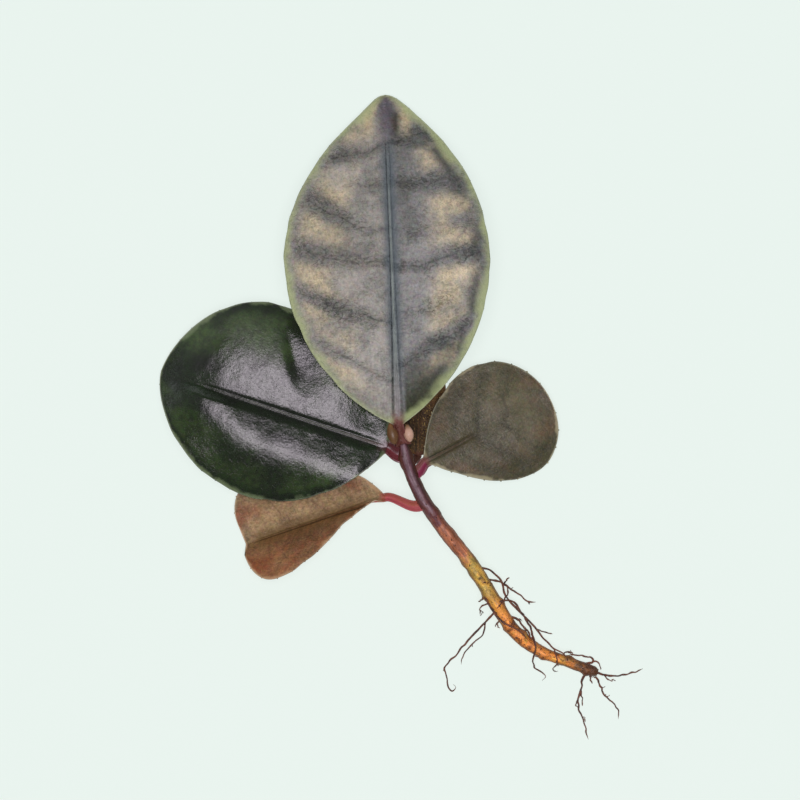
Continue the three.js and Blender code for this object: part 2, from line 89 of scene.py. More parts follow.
# share: place on the stem, 0 at the crown. around: degrees round the stem, None for its top end.
# petiole: length, heading and half width. Headings are degrees in plan.
# left and right: the half blades seen from the base towards the tip. widest is how far along, base
# and tip are how slender it is before and after, slope and droop how it rises and bends down.
# heights: the midrib above the floor, evenly spaced from base to tip.
# groove, groove_width, line, rib_end: the midrib's ditch, the ridge in it, and where both stop.
# pillow: how far the left half swells and where it is highest, then the same of the right half.
# vein_depth, bulge: relief along and between the veins. lean: how far the keel lies to one side.
# The lists give x to the right of the midrib and y from the base on, in millimetres.
# veins: side, start on the midrib and end at the margin as shares of the blade, and strength.
# dents: x, y, half width, reach beyond and before, tilt and depth.
# ridge: side, distance from the midrib near the base and near the tip, width and height.
# dabs of painted shade and painted highlight: x, y, half width, half length, and how much darker, if below
# 0, or lighter; some of them are also the leaf's own darker and lighter tone.
LEAVES = {
    "leaf_tall": {
        "around": None, "share": 0,
        "petiole": (3.3, 104, 1.02), "heading": 92.3,
        "left": {"widest": 0.5, "base": 0.72, "tip": 0.92, "slope": 0.02, "droop": 1.6},
        "right": {"widest": 0.5, "base": 0.78, "tip": 0.82, "slope": 0.02, "droop": 1.6},
        "heights": (8.4, 9.4, 9.3, 6.2, 0.5), "droop_power": 2.4,
        "groove": 0.5, "groove_width": 0.85, "line": 0.38, "rib_end": 0.9,
        "pillow": (0.55, 0.45, 0.6, 0.45), "vein_depth": 0.3, "bulge": 0.2, "lean": 0.0,
        "veins": [
            (-1, 0.84, 0.81, 1), (-1, 0.72, 0.75, 0.35), (-1, 0.58, 0.69, 0.8), (-1, 0.49, 0.53, 1),
            (-1, 0.3, 0.41, 0.9), (-1, 0.13, 0.24, 0.5), (1, 0.845, 0.87, 1), (1, 0.73, 0.725, 0.9),
            (1, 0.575, 0.61, 0.35), (1, 0.472, 0.51, 1), (1, 0.33, 0.4, 0.4), (1, 0.18, 0.29, 0.9),
        ],
        "shade_and_light_dabs": [
            (2.8, 42, 2.2, 8, -0.55), (15.3, 31, 1.6, 5, -0.8), (12.8, 42.3, 3, 1.5, -0.7),
            (6.5, 50, 3.2, 1.1, -0.6), (-8, 31, 5, 1.5, -0.6), (-11.5, 40.5, 3, 1.1, -0.45),
            (-8, 48.5, 3, 1, -0.45), (-10, 35.3, 2, 2.6, -0.35), (9.5, 13.5, 4.5, 1.6, -0.8),
            (5, 7, 3.6, 4, -0.9), (-10.5, 22, 3, 2, -0.3), (12, 26, 3, 4, 0.6), (7.5, 22.5, 4, 5, 0.45),
            (-5, 11, 4.5, 6, 0.5), (-7.5, 25.5, 4, 3, 0.3), (-9, 44.5, 3.4, 2.6, 0.7), (9, 35, 3, 3, 0.3),
            (-4.5, 36, 3, 5, 0.3), (5.5, 30.5, 3, 3, 0.2), (-3, 18, 2.5, 6, 0.25),
        ],
    },
    "leaf_dark": {
        "around": 180, "share": 0.03,
        "petiole": (2.3, 145, 1.2), "heading": 161.5,
        "left": {"widest": 0.5, "base": 0.75, "tip": 0.65, "slope": 0, "droop": 2.9},
        "right": {"widest": 0.6, "base": 0.54, "tip": 0.58, "slope": 0, "droop": 3.6},
        "heights": (6.6, 6.6, 6.6, 6.55, 6.5, 6.4, 6.0, 4.4, 1.0), "droop_power": 3.6,
        "groove": 0.55, "groove_width": 0.7, "line": 0.4, "rib_end": 0.84,
        "pillow": (0.0, 0.42, 0.5, 0.4), "vein_depth": 0.05, "bulge": 0.12, "lean": -0.7,
        "veins": [
            (1, 0.36, 0.49, 0.5), (1, 0.62, 0.74, 0.4), (1, 0.17, 0.28, 0.3), (-1, 0.2, 0.38, 0.4),
            (-1, 0.4, 0.6, 0.4), (-1, 0.6, 0.78, 0.4),
        ],
        "dents": [(9.2, 20.4, 4.0, 1.5, 5.0, 0.6, 0.85), (5.5, 4.0, 4.5, 4.5, 3.6, 0.0, 1.1)],
        "ridge": (-1, 6.9, 2.3, 5.0, 1.6),
        "shade_and_light_dabs": [
            (9.2, 19.6, 3.6, 1.4, -1), (14, 22, 3, 2, -0.5), (-12, 20, 3, 9, -0.5), (-3, 19, 2, 9, -0.4),
            (-10, 31, 4, 4, -0.4), (13, 30, 4, 7, 0.9), (8, 38, 5, 3, 0.7), (-12, 30, 2, 4, 0.3),
        ],
    },
    "leaf_right": {
        "around": 0, "share": 0.1,
        "petiole": (2.0, 57, 0.9), "heading": 28.3,
        "left": {"widest": 0.6, "base": 0.8, "tip": 0.52, "slope": 0.02, "droop": 0.8},
        "right": {"widest": 0.66, "base": 1.05, "tip": 0.45, "slope": 0.02, "droop": 2.2},
        "heights": (6.2, 4.8, 3.8, 3.2, 1.8), "droop_power": 2.2,
        "groove": 0.4, "groove_width": 0.5, "line": 0.2, "rib_end": 0.45,
        "pillow": (0.3, 0.45, 0.3, 0.45), "vein_depth": 0.12, "bulge": 0.16, "lean": 0.75,
        "veins": [
            (-1, 0.25, 0.45, 0.5), (-1, 0.45, 0.66, 0.7), (-1, 0.66, 0.85, 0.6), (1, 0.22, 0.42, 0.5),
            (1, 0.42, 0.63, 0.7), (1, 0.62, 0.82, 0.6),
        ],
        "shade_and_light_dabs": [
            (-7, 8, 2.5, 4, -0.4), (6, 17, 4, 3, 0.35), (-5, 16, 4, 4, 0.45), (1, 12, 4, 3.5, -0.45),
            (4, 8, 3, 3, 0.2), (9, 14, 2, 5, -0.3), (-1, 20, 6, 3.5, 0.8),
        ],
    },
    "leaf_folded": {
        "around": 180, "share": 0.2,
        "petiole": (6.1, 165, 0.8), "heading": 198.8,
        "left": {"widest": 0.86, "base": 2.4, "tip": 0.3, "slope": 0.62, "droop": 0.4},
        "right": {"widest": 0.7, "base": 0.65, "tip": 0.25, "slope": 0.14, "droop": 0.4},
        "heights": (3.2, 1.5, 0.8, 0.5, 0.45), "droop_power": 2,
        "groove": 0.3, "groove_width": 0.35, "line": 0.0, "rib_end": 0.97,
        "pillow": (0.25, 0.5, 0.3, 0.5), "vein_depth": 0.08, "bulge": 0.1, "lean": -0.5,
        "veins": [
            (-1, 0.35, 0.6, 0.6), (-1, 0.6, 0.85, 0.6), (1, 0.2, 0.36, 0.5), (1, 0.42, 0.6, 0.6),
            (1, 0.66, 0.86, 0.6),
        ],
        "shade_and_light_dabs": [
            (-1.5, 15, 1.4, 7, -0.7), (1.2, 16, 1, 8, -0.35), (-5.5, 22, 2, 4, 0.6), (-3, 8, 1, 5, -0.2),
            (5, 20, 3, 4, 0.3),
        ],
    },
    "leaf_under": {
        "around": -20, "share": 0.06,
        "petiole": (1.0, 55, 0.7), "heading": 89,
        "left": {"widest": 0.55, "base": 0.42, "tip": 0.6, "slope": 0, "droop": 0.3},
        "right": {"widest": 0.55, "base": 0.4, "tip": 0.6, "slope": 0, "droop": 0.3},
        "heights": (4.2, 2.6, 1.7, 1.0, 0.5), "droop_power": 2,
        "groove": 0.25, "groove_width": 0.4, "line": 0.1, "rib_end": 0.8,
        "pillow": (0.15, 0.5, 0.15, 0.5), "vein_depth": 0.08, "bulge": 0.1, "lean": 0.0,
        "veins": [(-1, 0.3, 0.5, 0.5), (-1, 0.55, 0.75, 0.5), (1, 0.3, 0.5, 0.5), (1, 0.55, 0.75, 0.5)],
        "shade_and_light_dabs": [(-2.5, 3.5, 2.5, 5, -0.9), (2, 10, 3, 4, 0.4)],
    },
}
# A notched tip: how far the left and right halves reach past the notch, and over what distance.
LOBES = {"leaf_folded": ((0.95, 1.8), (0.5, 6.0))}
BLUNT_TIPS = {"leaf_tall": 2.2}  # radius of a rounded tip
PETIOLE_BEND = 0.3
BUD_PLACE = (1.5, 1.7)  # middle of the bud, to the right of the crown and beyond it
PETIOLE_DEPTH = 1.5
PETIOLE_FLARE = 0.4  # how much wider a petiole is at the stem

# Each root: place on the stem, side it leaves from, radius, whether it lies over the stem, lift over
# its neighbours, the points of its run in plan from where it leaves, and its twigs.
ROOTS = {
    "root_long": (0.476, "right", 0.19, True, 0, [
        (1.4, -0.4), (3.5, -2.4), (4, -4.4), (5.3, -6.4), (9.5, -10.7), (12.5, -14.2), (14.8, -15.6),
        (15.4, -16.7)], [
        [(10, -11.2), (11.1, -11.6), (12.8, -12)],
        [(13, -14.6), (13.3, -15.5), (13.5, -16.8), (13.7, -17.8)],
        [(14.6, -15.4), (15.4, -15.2), (16.4, -15.3)]]),
    "root_reach": (0.52, "right", 0.19, True, 0.3, [
        (1.3, -0.2), (2.6, -0.8), (4, -1.9), (5.5, -2.8), (6.7, -3.9), (8.5, -4.1)], [
        [(3.4, -1.1), (3.5, -2.3), (3.1, -3.1), (2.3, -4.1), (1.2, -5.3)],
        [(2.9, -0.6), (3.3, -0.1), (3.7, 0.2)]]),
    "root_front": (0.594, "top", 0.19, True, 0.5, [
        (1.3, 0.6), (2.7, 0.5), (3.8, -0.2), (4.5, -1.4), (5.6, -3), (6.3, -4.6), (6.9, -6.4), (7.1, -7.9),
        (6.8, -9.4), (6.7, -10.4), (7.1, -11.6), (8.1, -12.3), (8.9, -13.2), (8.5, -14)], []),
    "root_short": (0.66, "right", 0.2, True, 0, [
        (1, -0.3), (2, -1.5), (2.8, -2.5), (3.4, -3.5), (4.2, -4.2)], []),
    "root_edge": (0.545, "left", 0.2, True, 0.3, [
        (0.8, -1.2), (1.4, -2.4), (2.2, -3.5), (3.1, -4.5), (4.6, -5.7), (6.1, -6.4), (7.4, -7.4),
        (8.3, -8.5)], [[(0.2, -0.6), (-0.1, -1.2), (-0.7, -1.6)]]),
    "root_west": (0.618, "left", 0.19, False, 0, [
        (-1.8, -2), (-4.2, -4.6), (-5.6, -6.1), (-6.6, -7.6), (-7.8, -8.7), (-8.8, -10.1),
        (-8.5, -12.1), (-8.2, -13.6), (-7.4, -14.2), (-6.9, -13.6), (-7.3, -13)],
        [[(-1.5, -1.8), (-2.1, -4.1), (-3.4, -5.2), (-4.4, -6.3), (-5.6, -7.8), (-5.8, -9.4)]]),
    "root_hook": (0.585, "left", 0.14, False, 0, [(-1.2, -0.6), (-1.5, -1.5), (-1.5, -2.1)], []),
    "root_spur": (0.65, "left", 0.14, False, 0, [(-0.4, -0.6), (-0.3, -1.3)], []),
    "root_hair": (0.872, "left", 0.12, False, 0, [(-0.5, -0.6), (-1, -1.2)], []),
    "root_loop": (0.955, "right", 0.18, False, 0, [
        (1.1, 0.2), (1.4, 0.6), (0.9, 1.1), (-0.5, 1.4), (-2.8, 1.6)],
        [[(1.3, 0.3), (2.1, 0.3), (2.7, -0.5), (2.8, -1.2)]]),
    "root_down": (0.965, "left", 0.18, False, 0, [
        (-0.5, -1.2), (-0.8, -3.1), (-1.3, -4.8), (-1.2, -6.1), (-0.5, -8.3), (0.1, -10.2), (0.5, -12)],
        [[(-0.8, -3.1), (-0.6, -4.4), (-0.5, -5.9)], [(-1.3, -4.9), (-1.5, -5.4), (-1.8, -5.9)]]),
    "root_slant": (0.998, "left", 0.17, False, 0, [
        (0.6, -0.8), (1.2, -2.3), (1.7, -3.3), (2.6, -4.3), (3.6, -5.2), (4.1, -6), (4.2, -7.6)], []),
    "root_stub": (0.982, "left", 0.15, False, 0, [(0.1, -0.9), (0.3, -1.7)], []),
    "root_east": (1, "end", 0.18, False, 0, [
        (1.5, -0.5), (3.6, -0.6), (5.7, -0.2), (7.1, 0.2), (8.3, 0.6)],
        [[(1.2, -0.4), (1.9, -1.2), (2.8, -1.6)]]),
}
ROOT_TAPER = 0.62
SENSOR = 36
TWIG_RADIUS = 0.75  # of its root's radius
ROOTLET_RADIUS = 0.07
HILL_REACH = 3  # how far a root over the stem takes to come down, in stem radii
KNOB_RUN = 56.5  # stem length that the knobs' lengths are given for
SPECK_SIDES = (0.7, 1.5, 0.4)  # a corky speck's half sides, for its size


# ---- Sizes and colours that a user would change ----


def length(name, description, millimetres):
    return FloatProperty(
        name=name, description=description, default=millimetres * MM, min=0, precision=5, unit="LENGTH"
    )


def colour(name, description, code):
    """A colour given as it looks on a screen, kept as light."""
    parts = [int(code[i : i + 2], 16) / 255 for i in (0, 2, 4)]
    light = [p / 12.92 if p <= 0.04045 else ((p + 0.055) / 1.055) ** 2.4 for p in parts]
    return FloatVectorProperty(
        name=name, description=description, default=light, size=3, min=0, max=1, subtype="COLOR"
    )


def leaf_group(title, blade, left, right, thickness, colours):
    """A property group for one leaf."""
    fields = {
        "blade_length": length("Blade length", "From the petiole to the tip", blade),
        "left_width": length("Left half", "Greatest width of the left half blade", left),
        "right_width": length("Right half", "Greatest width of the right half blade", right),
        "thickness": length("Thickness", "Thickness of the blade", thickness),
    }
    for (key, (name, description)), code in zip(LEAF_COLOURS.items(), colours):
        fields[key] = colour(name, description, code)
    return type(title, (bpy.types.PropertyGroup,), {"__annotations__": fields})


LEAF_COLOURS = {
    "blade": ("Blade", "Main colour of the upper side"),
    "shade": ("Shade", "Darker clouds on the upper side"),
    "patch": ("Patches", "Patches between the side veins"),
    "vein": ("Veins", "Side veins"),
    "rim": ("Rim", "Pale rim of the blade"),
    "rib": ("Midrib", "Line along the midrib"),
    "stalk": ("Petiole", "Upper side of the petiole"),
    "under": ("Underside", "Underside and keel"),
    "tip": ("Tip", "Round the midrib near the tip"),
    "flank": ("Beside the midrib", "Both sides of the midrib"),
}

LeafTall = leaf_group("LeafTall", 59.3, 19.2, 17.5, 0.5, (
    "9a9896", "6a6e68", "e6d2a8", "343a34", "b8c48a", "9ca6a0", "7c4a44", "5a2c20", "5c5260", "66727a"))
LeafDark = leaf_group("LeafDark", 43, 16.3, 18.1, 0.5, (
    "18280f", "080f05", "3c5026", "0a100a", "8a9a70", "74766c", "4a2828", "742c34", "1a2416", "141a10"))
LeafRight = leaf_group("LeafRight", 25.2, 11, 11.1, 0.45, (
    "5a5440", "3c4026", "6c4c34", "2c2a1c", "c0b692", "5a3c30", "80504a", "8c2c50", "5a5040", "4c4028"))
LeafFolded = leaf_group("LeafFolded", 26.8, 7.4, 11.3, 0.45, (
    "a2845e", "6c5434", "84482a", "5c3a1e", "cca47c", "50260e", "a85c4a", "c45c66", "806440", "64481e"))
LeafUnder = leaf_group("LeafUnder", 19, 4.9, 4.9, 0.4, (
    "5a4020", "1c1208", "7a5828", "2c1a0c", "96704a", "5c3c24", "5a3424", "4c2820", "4a3018", "3c260f"))


class StemSizes(bpy.types.PropertyGroup):
    """The woody stem."""

    length: length("Length", "Along the stem, from the crown to the lower end", 56.5)
    crown_radius: length("Crown radius", "Radius at the crown", 1.05)
    middle_radius: length("Middle radius", "Radius half way down", 1.32)
    end_radius: length("End radius", "Radius at the lower end", 0.95)
    crown_height: length("Crown height", "Centre line above the floor at the crown", 7.4)
    end_height: length("End height", "Centre line above the floor at the lower end", 1.0)
    sag: FloatProperty(name="Sag", description="1 is a straight slope", default=1.7, min=1, max=4)
    bark: length("Bark relief", "How far the bark's ridges stand out", 0.09)
    young: colour("Young wood", "Top of the stem", "6a3e48")
    flesh: colour("Reddened wood", "Just below the young wood", "d0805a")
    gold: colour("Middle wood", "Olive yellow middle of the stem", "e8b04a")
    rust: colour("Old wood", "Orange brown lower half", "f09440")
    end: colour("Lowest wood", "Lower end of the stem", "5e3a22")
    crack: colour("Cracks", "Cracks, pits and scars", "44200e")


class BudSizes(bpy.types.PropertyGroup):
    """The buds at the crown."""

    length: length("Length", "Length of the bud", 3.2)
    half_width: length("Half width", "Half of its width", 0.78)
    scale: colour("Bud scale", "Colour of the bud scales", "d4aa94")
    seam: colour("Seam", "Where the scales meet", "86603c")
    side_scale: colour("Side bud", "Colour of the side bud", "6a4a2c")


class RootSizes(bpy.types.PropertyGroup):
    """All the roots."""

    relief: length("Relief", "How uneven the roots are", 0.035)
    rootlets: IntProperty(name="Rootlets", description="Fine hairs on each root", default=3, min=0)
    skin: colour("Skin", "Main colour of the roots", "462c28")
    young: colour("Young skin", "Reddish brown of the thin roots", "7a4632")


class StageSizes(bpy.types.PropertyGroup):
    """Board, lights and camera."""

    board: length("Board", "Side of the pale board", 4000)
    view: length("Field of view", "Width that the camera sees at the board", 143.2)
    camera_height: length("Camera height", "Camera above the board", 800)
    softbox: length("Softbox", "Side of the main softbox", 620)
    paper: colour("Paper", "Colour of the pale board", "e9f4ee")


# ---- Curves and noise ----


def evenly(points, count):
    """Evenly spaced places along a row of points."""
    points = np.asarray(points, float)
    run = np.concatenate([[0], np.cumsum(np.linalg.norm(np.diff(points, axis=0), axis=1))])
    at = np.linspace(0, run[-1], count)
    return np.column_stack([np.interp(at, run, points[:, k]) for k in range(points.shape[1])])


def spline(points, count):
    """Evenly spaced places on the smooth curve through some points."""
    p = np.asarray(points, float)
    p = np.vstack([2 * p[0] - p[1], p, 2 * p[-1] - p[-2]])
    t = np.linspace(0, 1, 24, endpoint=False)[:, None]
    fine = []
    for a, b, c, d in zip(p, p[1:], p[2:], p[3:]):
        ab, bc, cd = (max(np.linalg.norm(y - x), 1e-9) ** 0.5 for x, y in ((a, b), (b, c), (c, d)))
        leave = ((b - a) / ab - (c - a) / (ab + bc) + (c - b) / bc) * bc
        arrive = ((c - b) / bc - (d - b) / (bc + cd) + (d - c) / cd) * bc
        fine.append(
            b + leave * t + (3 * (c - b) - 2 * leave - arrive) * t**2 + (2 * (b - c) + leave + arrive) * t**3
        )
    return evenly(np.vstack([*fine, p[-2:-1]]), count)


def step(value, low, high):
    """0 below low, 1 above high, smooth between."""
    t = np.clip((value - low) / (high - low), 0, 1)
    return t * t * (3 - 2 * t)


def noise(x, y, size, seed, octaves=1):
    """Smooth noise from -1 to 1 whose lumps are about size across."""
    total, weight = 0, 0
    for octave in range(octaves):
        table = np.random.default_rng(seed + octave).uniform(-1, 1, (64, 64))
        u, v = x / size * 2**octave, y / size * 2**octave
        i, j = np.floor(u).astype(int), np.floor(v).astype(int)
        fu, fv = step(u - i, 0, 1), step(v - j, 0, 1)
        near = table[i % 64, j % 64] * (1 - fu) + table[(i + 1) % 64, j % 64] * fu
        far = table[i % 64, (j + 1) % 64] * (1 - fu) + table[(i + 1) % 64, (j + 1) % 64] * fu
        total = total + (near * (1 - fv) + far * fv) * 0.5**octave
        weight += 0.5**octave
    return total / weight


def heading(degrees):
    """The way that a heading points in plan."""
    return np.array([math.cos(math.radians(degrees)), math.sin(math.radians(degrees))])


# ---- The stem's line, which everything else starts from ----


class Stem:
    """The stem's centre line and radius, in the same way as the packed model has them."""

    def __init__(self, sizes):
        self.crown, self.middle, self.end = (
            getattr(sizes, key) / MM for key in ("crown_radius", "middle_radius", "end_radius")
        )
        drawn = spline(STEM_ROUTE, 800)
        drawn *= sizes.length / MM / np.linalg.norm(np.diff(drawn, axis=0), axis=1).sum()
        share = np.linspace(0, 1, STEM_STEPS + 1)
        low, high = sizes.end_height / MM, sizes.crown_height / MM
        heights = low + (high - low) * (1 - share) ** sizes.sag
        self.line = spline(np.column_stack([evenly(drawn, STEM_STEPS + 1), heights]), 600)
        self.ahead = np.gradient(self.line, axis=0)
        self.ahead /= np.linalg.norm(self.ahead, axis=1)[:, None]
        low_corner, high_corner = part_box("bud")
        bud = np.array((low_corner + high_corner) / 2)[:2] / MM
        self.shift = bud - (self.line[0, :2] + BUD_PLACE)

    def radius(self, share):
        share = np.asarray(share, float)
        ends = self.crown + (self.end - self.crown) * share
        return ends + (self.middle - ends) * np.sin(np.pi * np.minimum(1, share * 1.1))

    def at(self, share):
        return self.line[int(round(share * (len(self.line) - 1)))]

    def tangent(self, share):
        return self.ahead[int(round(share * (len(self.line) - 1)))]

    def out(self, share, around):
        """The way out of the stem, 0 to its right on the page, 90 on top."""
        ahead = self.tangent(share)
        right = np.array([-ahead[1], ahead[0], 0])
        right /= np.linalg.norm(right)
        up = np.cross(ahead, right)
        turn = math.radians(around)
        return right * math.cos(turn) + up / np.linalg.norm(up) * math.sin(turn)

    def skin(self, share, around, sunk=0.15):
        """A place just under the stem's surface."""
        return self.at(share) + self.out(share, around) * (float(self.radius(share)) - sunk)

    def nearest(self, x, y):
        distance = np.hypot(self.line[:, 0] - x, self.line[:, 1] - y)
        best = int(distance.argmin())
        return distance[best], best / (len(self.line) - 1), self.line[best, 2]


# ---- Meshes ----


def place(points, stem):
    """From the plant's own millimetres to metres in the packed model's place."""
    points = np.array(points, float)
    points[:, :2] += stem.shift
    return points * MM


def new_object(name, data):
    made = bpy.data.objects.new(name, data)
    bpy.context.scene.collection.objects.link(made)
    return made


def mark(mesh, marks):
    """Stores numbers or vectors on a mesh's points, under their names."""
    for key, data in marks.items():
        data = np.asarray(data, np.float32).ravel()
        kind, field = ("FLOAT", "value") if data.size == len(mesh.vertices) else ("FLOAT_VECTOR", "vector")
        mesh.attributes.new(key, kind, "POINT").data.foreach_set(field, data)


def mesh_points(mesh):
    points = np.empty(len(mesh.vertices) * 3, np.float32)
    mesh.vertices.foreach_get("co", points)
    return points.reshape(-1, 3)


def mesh_object(name, points, faces, material, marks):
    """A smooth mesh object at the origin."""
    mesh = bpy.data.meshes.new(name)
    mesh.from_pydata(np.asarray(points).tolist(), [], faces)
    mark(mesh, marks)
    mesh.polygons.foreach_set("use_smooth", [True] * len(mesh.polygons))
    mesh.materials.append(material)
    mesh.update()
    return new_object(name, mesh)


def line_object(name, lines, marks):
    """A wire of several open lines for a tree to follow. A mark holds one array for each line."""
    mesh = bpy.data.meshes.new(name)
    edges, first = [], 0
    for line in lines:
        edges += [(first + k, first + k + 1) for k in range(len(line) - 1)]
        first += len(line)
    mesh.from_pydata(np.vstack(lines).tolist(), edges, [])
    mark(mesh, {key: np.concatenate(data) for key, data in marks.items()})
    return new_object(name, mesh)


def outward(piece):
    """Turns a closed shell's faces outwards if they point in."""
    mesh = piece.data
    mesh.calc_loop_triangles()
    corners = np.empty(len(mesh.loop_triangles) * 3, np.int32)
    mesh.loop_triangles.foreach_get("vertices", corners)
    tri = mesh_points(mesh)[corners.reshape(-1, 3)].astype(float)
    if np.einsum("ij,ij->i", tri[:, 0], np.cross(tri[:, 1], tri[:, 2])).sum() < 0:
        mesh.flip_normals()
    return piece


def settle(piece, nodes):
    """Says what a finished piece rides on, stands for and takes its finish from."""
    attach(piece, BODY)
    if nodes:
        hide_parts(*nodes)


# ---- Geometry Nodes ----


class Nodes:
    """A node tree in the making."""

    def node(self, kind, sockets=None, **settings):
        made = self.tree.nodes.new(kind)
        for key, value in settings.items():
            setattr(made, key, value)
        for key, value in (sockets or {}).items():
            self.feed(made.inputs[key], value)
        return made

    def first(self, kind, sockets=None, **settings):
        """The first output of a new node."""
        return self.node(kind, sockets, **settings).outputs[0]

    def feed(self, socket, value):
        if isinstance(value, bpy.types.NodeSocket):
            self.tree.links.new(value, socket)
        elif socket.type == "RGBA":
            socket.default_value = (*value[:3], 1)
        else:
            socket.default_value = value

    def math(self, operation, *values):
        return self.first("ShaderNodeMath", dict(enumerate(values)), operation=operation)


class Growth(Nodes):
    """A Geometry Nodes tree, from its named inputs to real meshes with their material."""

    def __init__(self, name, **inputs):
        self.tree = bpy.data.node_groups.new(name, "GeometryNodeTree")
        face = self.tree.interface
        face.new_socket(name="Geometry", in_out="INPUT", socket_type="NodeSocketGeometry")
        face.new_socket(name="Geometry", in_out="OUTPUT", socket_type="NodeSocketGeometry")
        for label, value in inputs.items():
            kind = "NodeSocketInt" if isinstance(value, int) else "NodeSocketFloat"
            face.new_socket(name=label, in_out="INPUT", socket_type=kind).default_value = value
        face.new_socket(name="Material", in_out="INPUT", socket_type="NodeSocketMaterial")
        self.start = self.tree.nodes.new("NodeGroupInput").outputs
        self.finish = self.tree.nodes.new("NodeGroupOutput").inputs[0]

    def named(self, name, kind="FLOAT"):
        return self.first("GeometryNodeInputNamedAttribute", {"Name": name}, data_type=kind)

    def uneven_size(self):
        return self.node(
            "FunctionNodeRandomValue", {2: 0.5, 3: 1.2, "Seed": self.start["Seed"]}, data_type="FLOAT"
        ).outputs[1]

    def instances(self, points, instance, scale, **more):
        sockets = {"Points": points, "Instance": instance, "Scale": scale, **more}
        return self.first("GeometryNodeInstanceOnPoints", sockets)

    def close(self, geometry):
        """Ends the tree: smooth real meshes, with their material."""
        smooth = self.first("GeometryNodeSetShadeSmooth", {"Geometry": geometry, "Shade Smooth": True})
        real = self.first("GeometryNodeRealizeInstances", {0: smooth})
        skin = self.first("GeometryNodeSetMaterial", {0: real, "Material": self.start["Material"]})
        self.tree.links.new(skin, self.finish)
        return self.tree


def limb_tree(name):
    """Sweeps a round limb along each line, with knobs and uneven skin."""
    tree = Growth(name, Sides=12, Relief=0.0, Grain=1000.0, Seed=0.0)
    start = tree.start
    curve = tree.first("GeometryNodeMeshToCurve", {0: start["Geometry"]})
    ring = tree.first("GeometryNodeCurvePrimitiveCircle", {"Resolution": start["Sides"], "Radius": 1.0})
    turn = tree.first("GeometryNodeInputPosition")
    ring = tree.first(
        "GeometryNodeStoreNamedAttribute", {"Geometry": ring, "Name": "turn", "Value": turn},
        data_type="FLOAT_VECTOR", domain="POINT",
    )
    swept = tree.first("GeometryNodeCurveToMesh", {
        "Curve": curve, "Profile Curve": ring, "Scale": tree.named("radius"), "Fill Caps": True,
    })
    normal = tree.first("GeometryNodeInputNormal")
    grain = tree.first("ShaderNodeTexNoise", {
        "Vector": tree.first("GeometryNodeInputPosition"), "Scale": start["Grain"], "Detail": 3.0,
        "W": start["Seed"],
    }, noise_dimensions="4D")
    uneven = tree.math("MULTIPLY", tree.math("SUBTRACT", grain, 0.5), start["Relief"])
    knob = tree.node(
        "ShaderNodeVectorMath", {0: normal, 1: tree.named("knob", "FLOAT_VECTOR")}, operation="DOT_PRODUCT"
    ).outputs["Value"]
    height = tree.math("ADD", tree.math("MAXIMUM", knob, 0.0), tree.math("MULTIPLY", uneven, 2.0))
    push = tree.first("ShaderNodeVectorMath", {0: normal, "Scale": height}, operation="SCALE")
    return tree.close(tree.first("GeometryNodeSetPosition", {"Geometry": swept, "Offset": push}))


def beads_tree(name):
    """Small flattened beads along a line."""
    tree = Growth(name, Spacing=0.003, Size=0.0002, Seed=0)
    start = tree.start
    curve = tree.first("GeometryNodeMeshToCurve", {0: start["Geometry"]})
    points = tree.first(
        "GeometryNodeResampleCurve", {"Curve": curve, "Length": start["Spacing"]}, mode="LENGTH"
    )
    bead = tree.first("GeometryNodeMeshIcoSphere", {"Radius": start["Size"], "Subdivisions": 2})
    size = tree.uneven_size()
    shape = tree.first("ShaderNodeCombineXYZ", {0: size, 1: size, 2: 1.0})
    return tree.close(tree.instances(points, bead, shape))


def specks_tree(name):
    """Small raised specks scattered over a surface, each lying flat on it."""
    tree = Growth(name, Density=100000.0, Size=0.0002, Seed=0)
    start = tree.start
    scatter = tree.node("GeometryNodeDistributePointsOnFaces", {
        "Mesh": start["Geometry"], "Density": start["Density"], "Seed": start["Seed"],
    })
    speck = tree.first("GeometryNodeMeshIcoSphere", {"Radius": start["Size"], "Subdivisions": 1})
    size = tree.uneven_size()
    sides = {k: tree.math("MULTIPLY", size, side) for k, side in enumerate(SPECK_SIDES)}
    shape = tree.first("ShaderNodeCombineXYZ", sides)
    return tree.close(tree.instances(scatter.outputs[0], speck, shape, Rotation=scatter.outputs[2]))


def grow(source, build, name, **inputs):
    """Runs a tree on an object and returns the result as a plain mesh object."""
    title = build.__name__.replace("_", " ")
    group = bpy.data.node_groups.get(title) or build(title)
    modifier = source.modifiers.new("grow", "NODES")
    modifier.node_group = group
    for item in group.interface.items_tree:
        key = item.name.lower()
        if item.in_out == "INPUT" and key in inputs:
            modifier[item.identifier] = inputs[key]
    bpy.context.view_layer.update()
    graph = bpy.context.evaluated_depsgraph_get()
    mesh = bpy.data.meshes.new_from_object(source.evaluated_get(graph))
    mesh.name = name
    source.modifiers.remove(modifier)
    return new_object(name, mesh)


# ---- Finishes ----


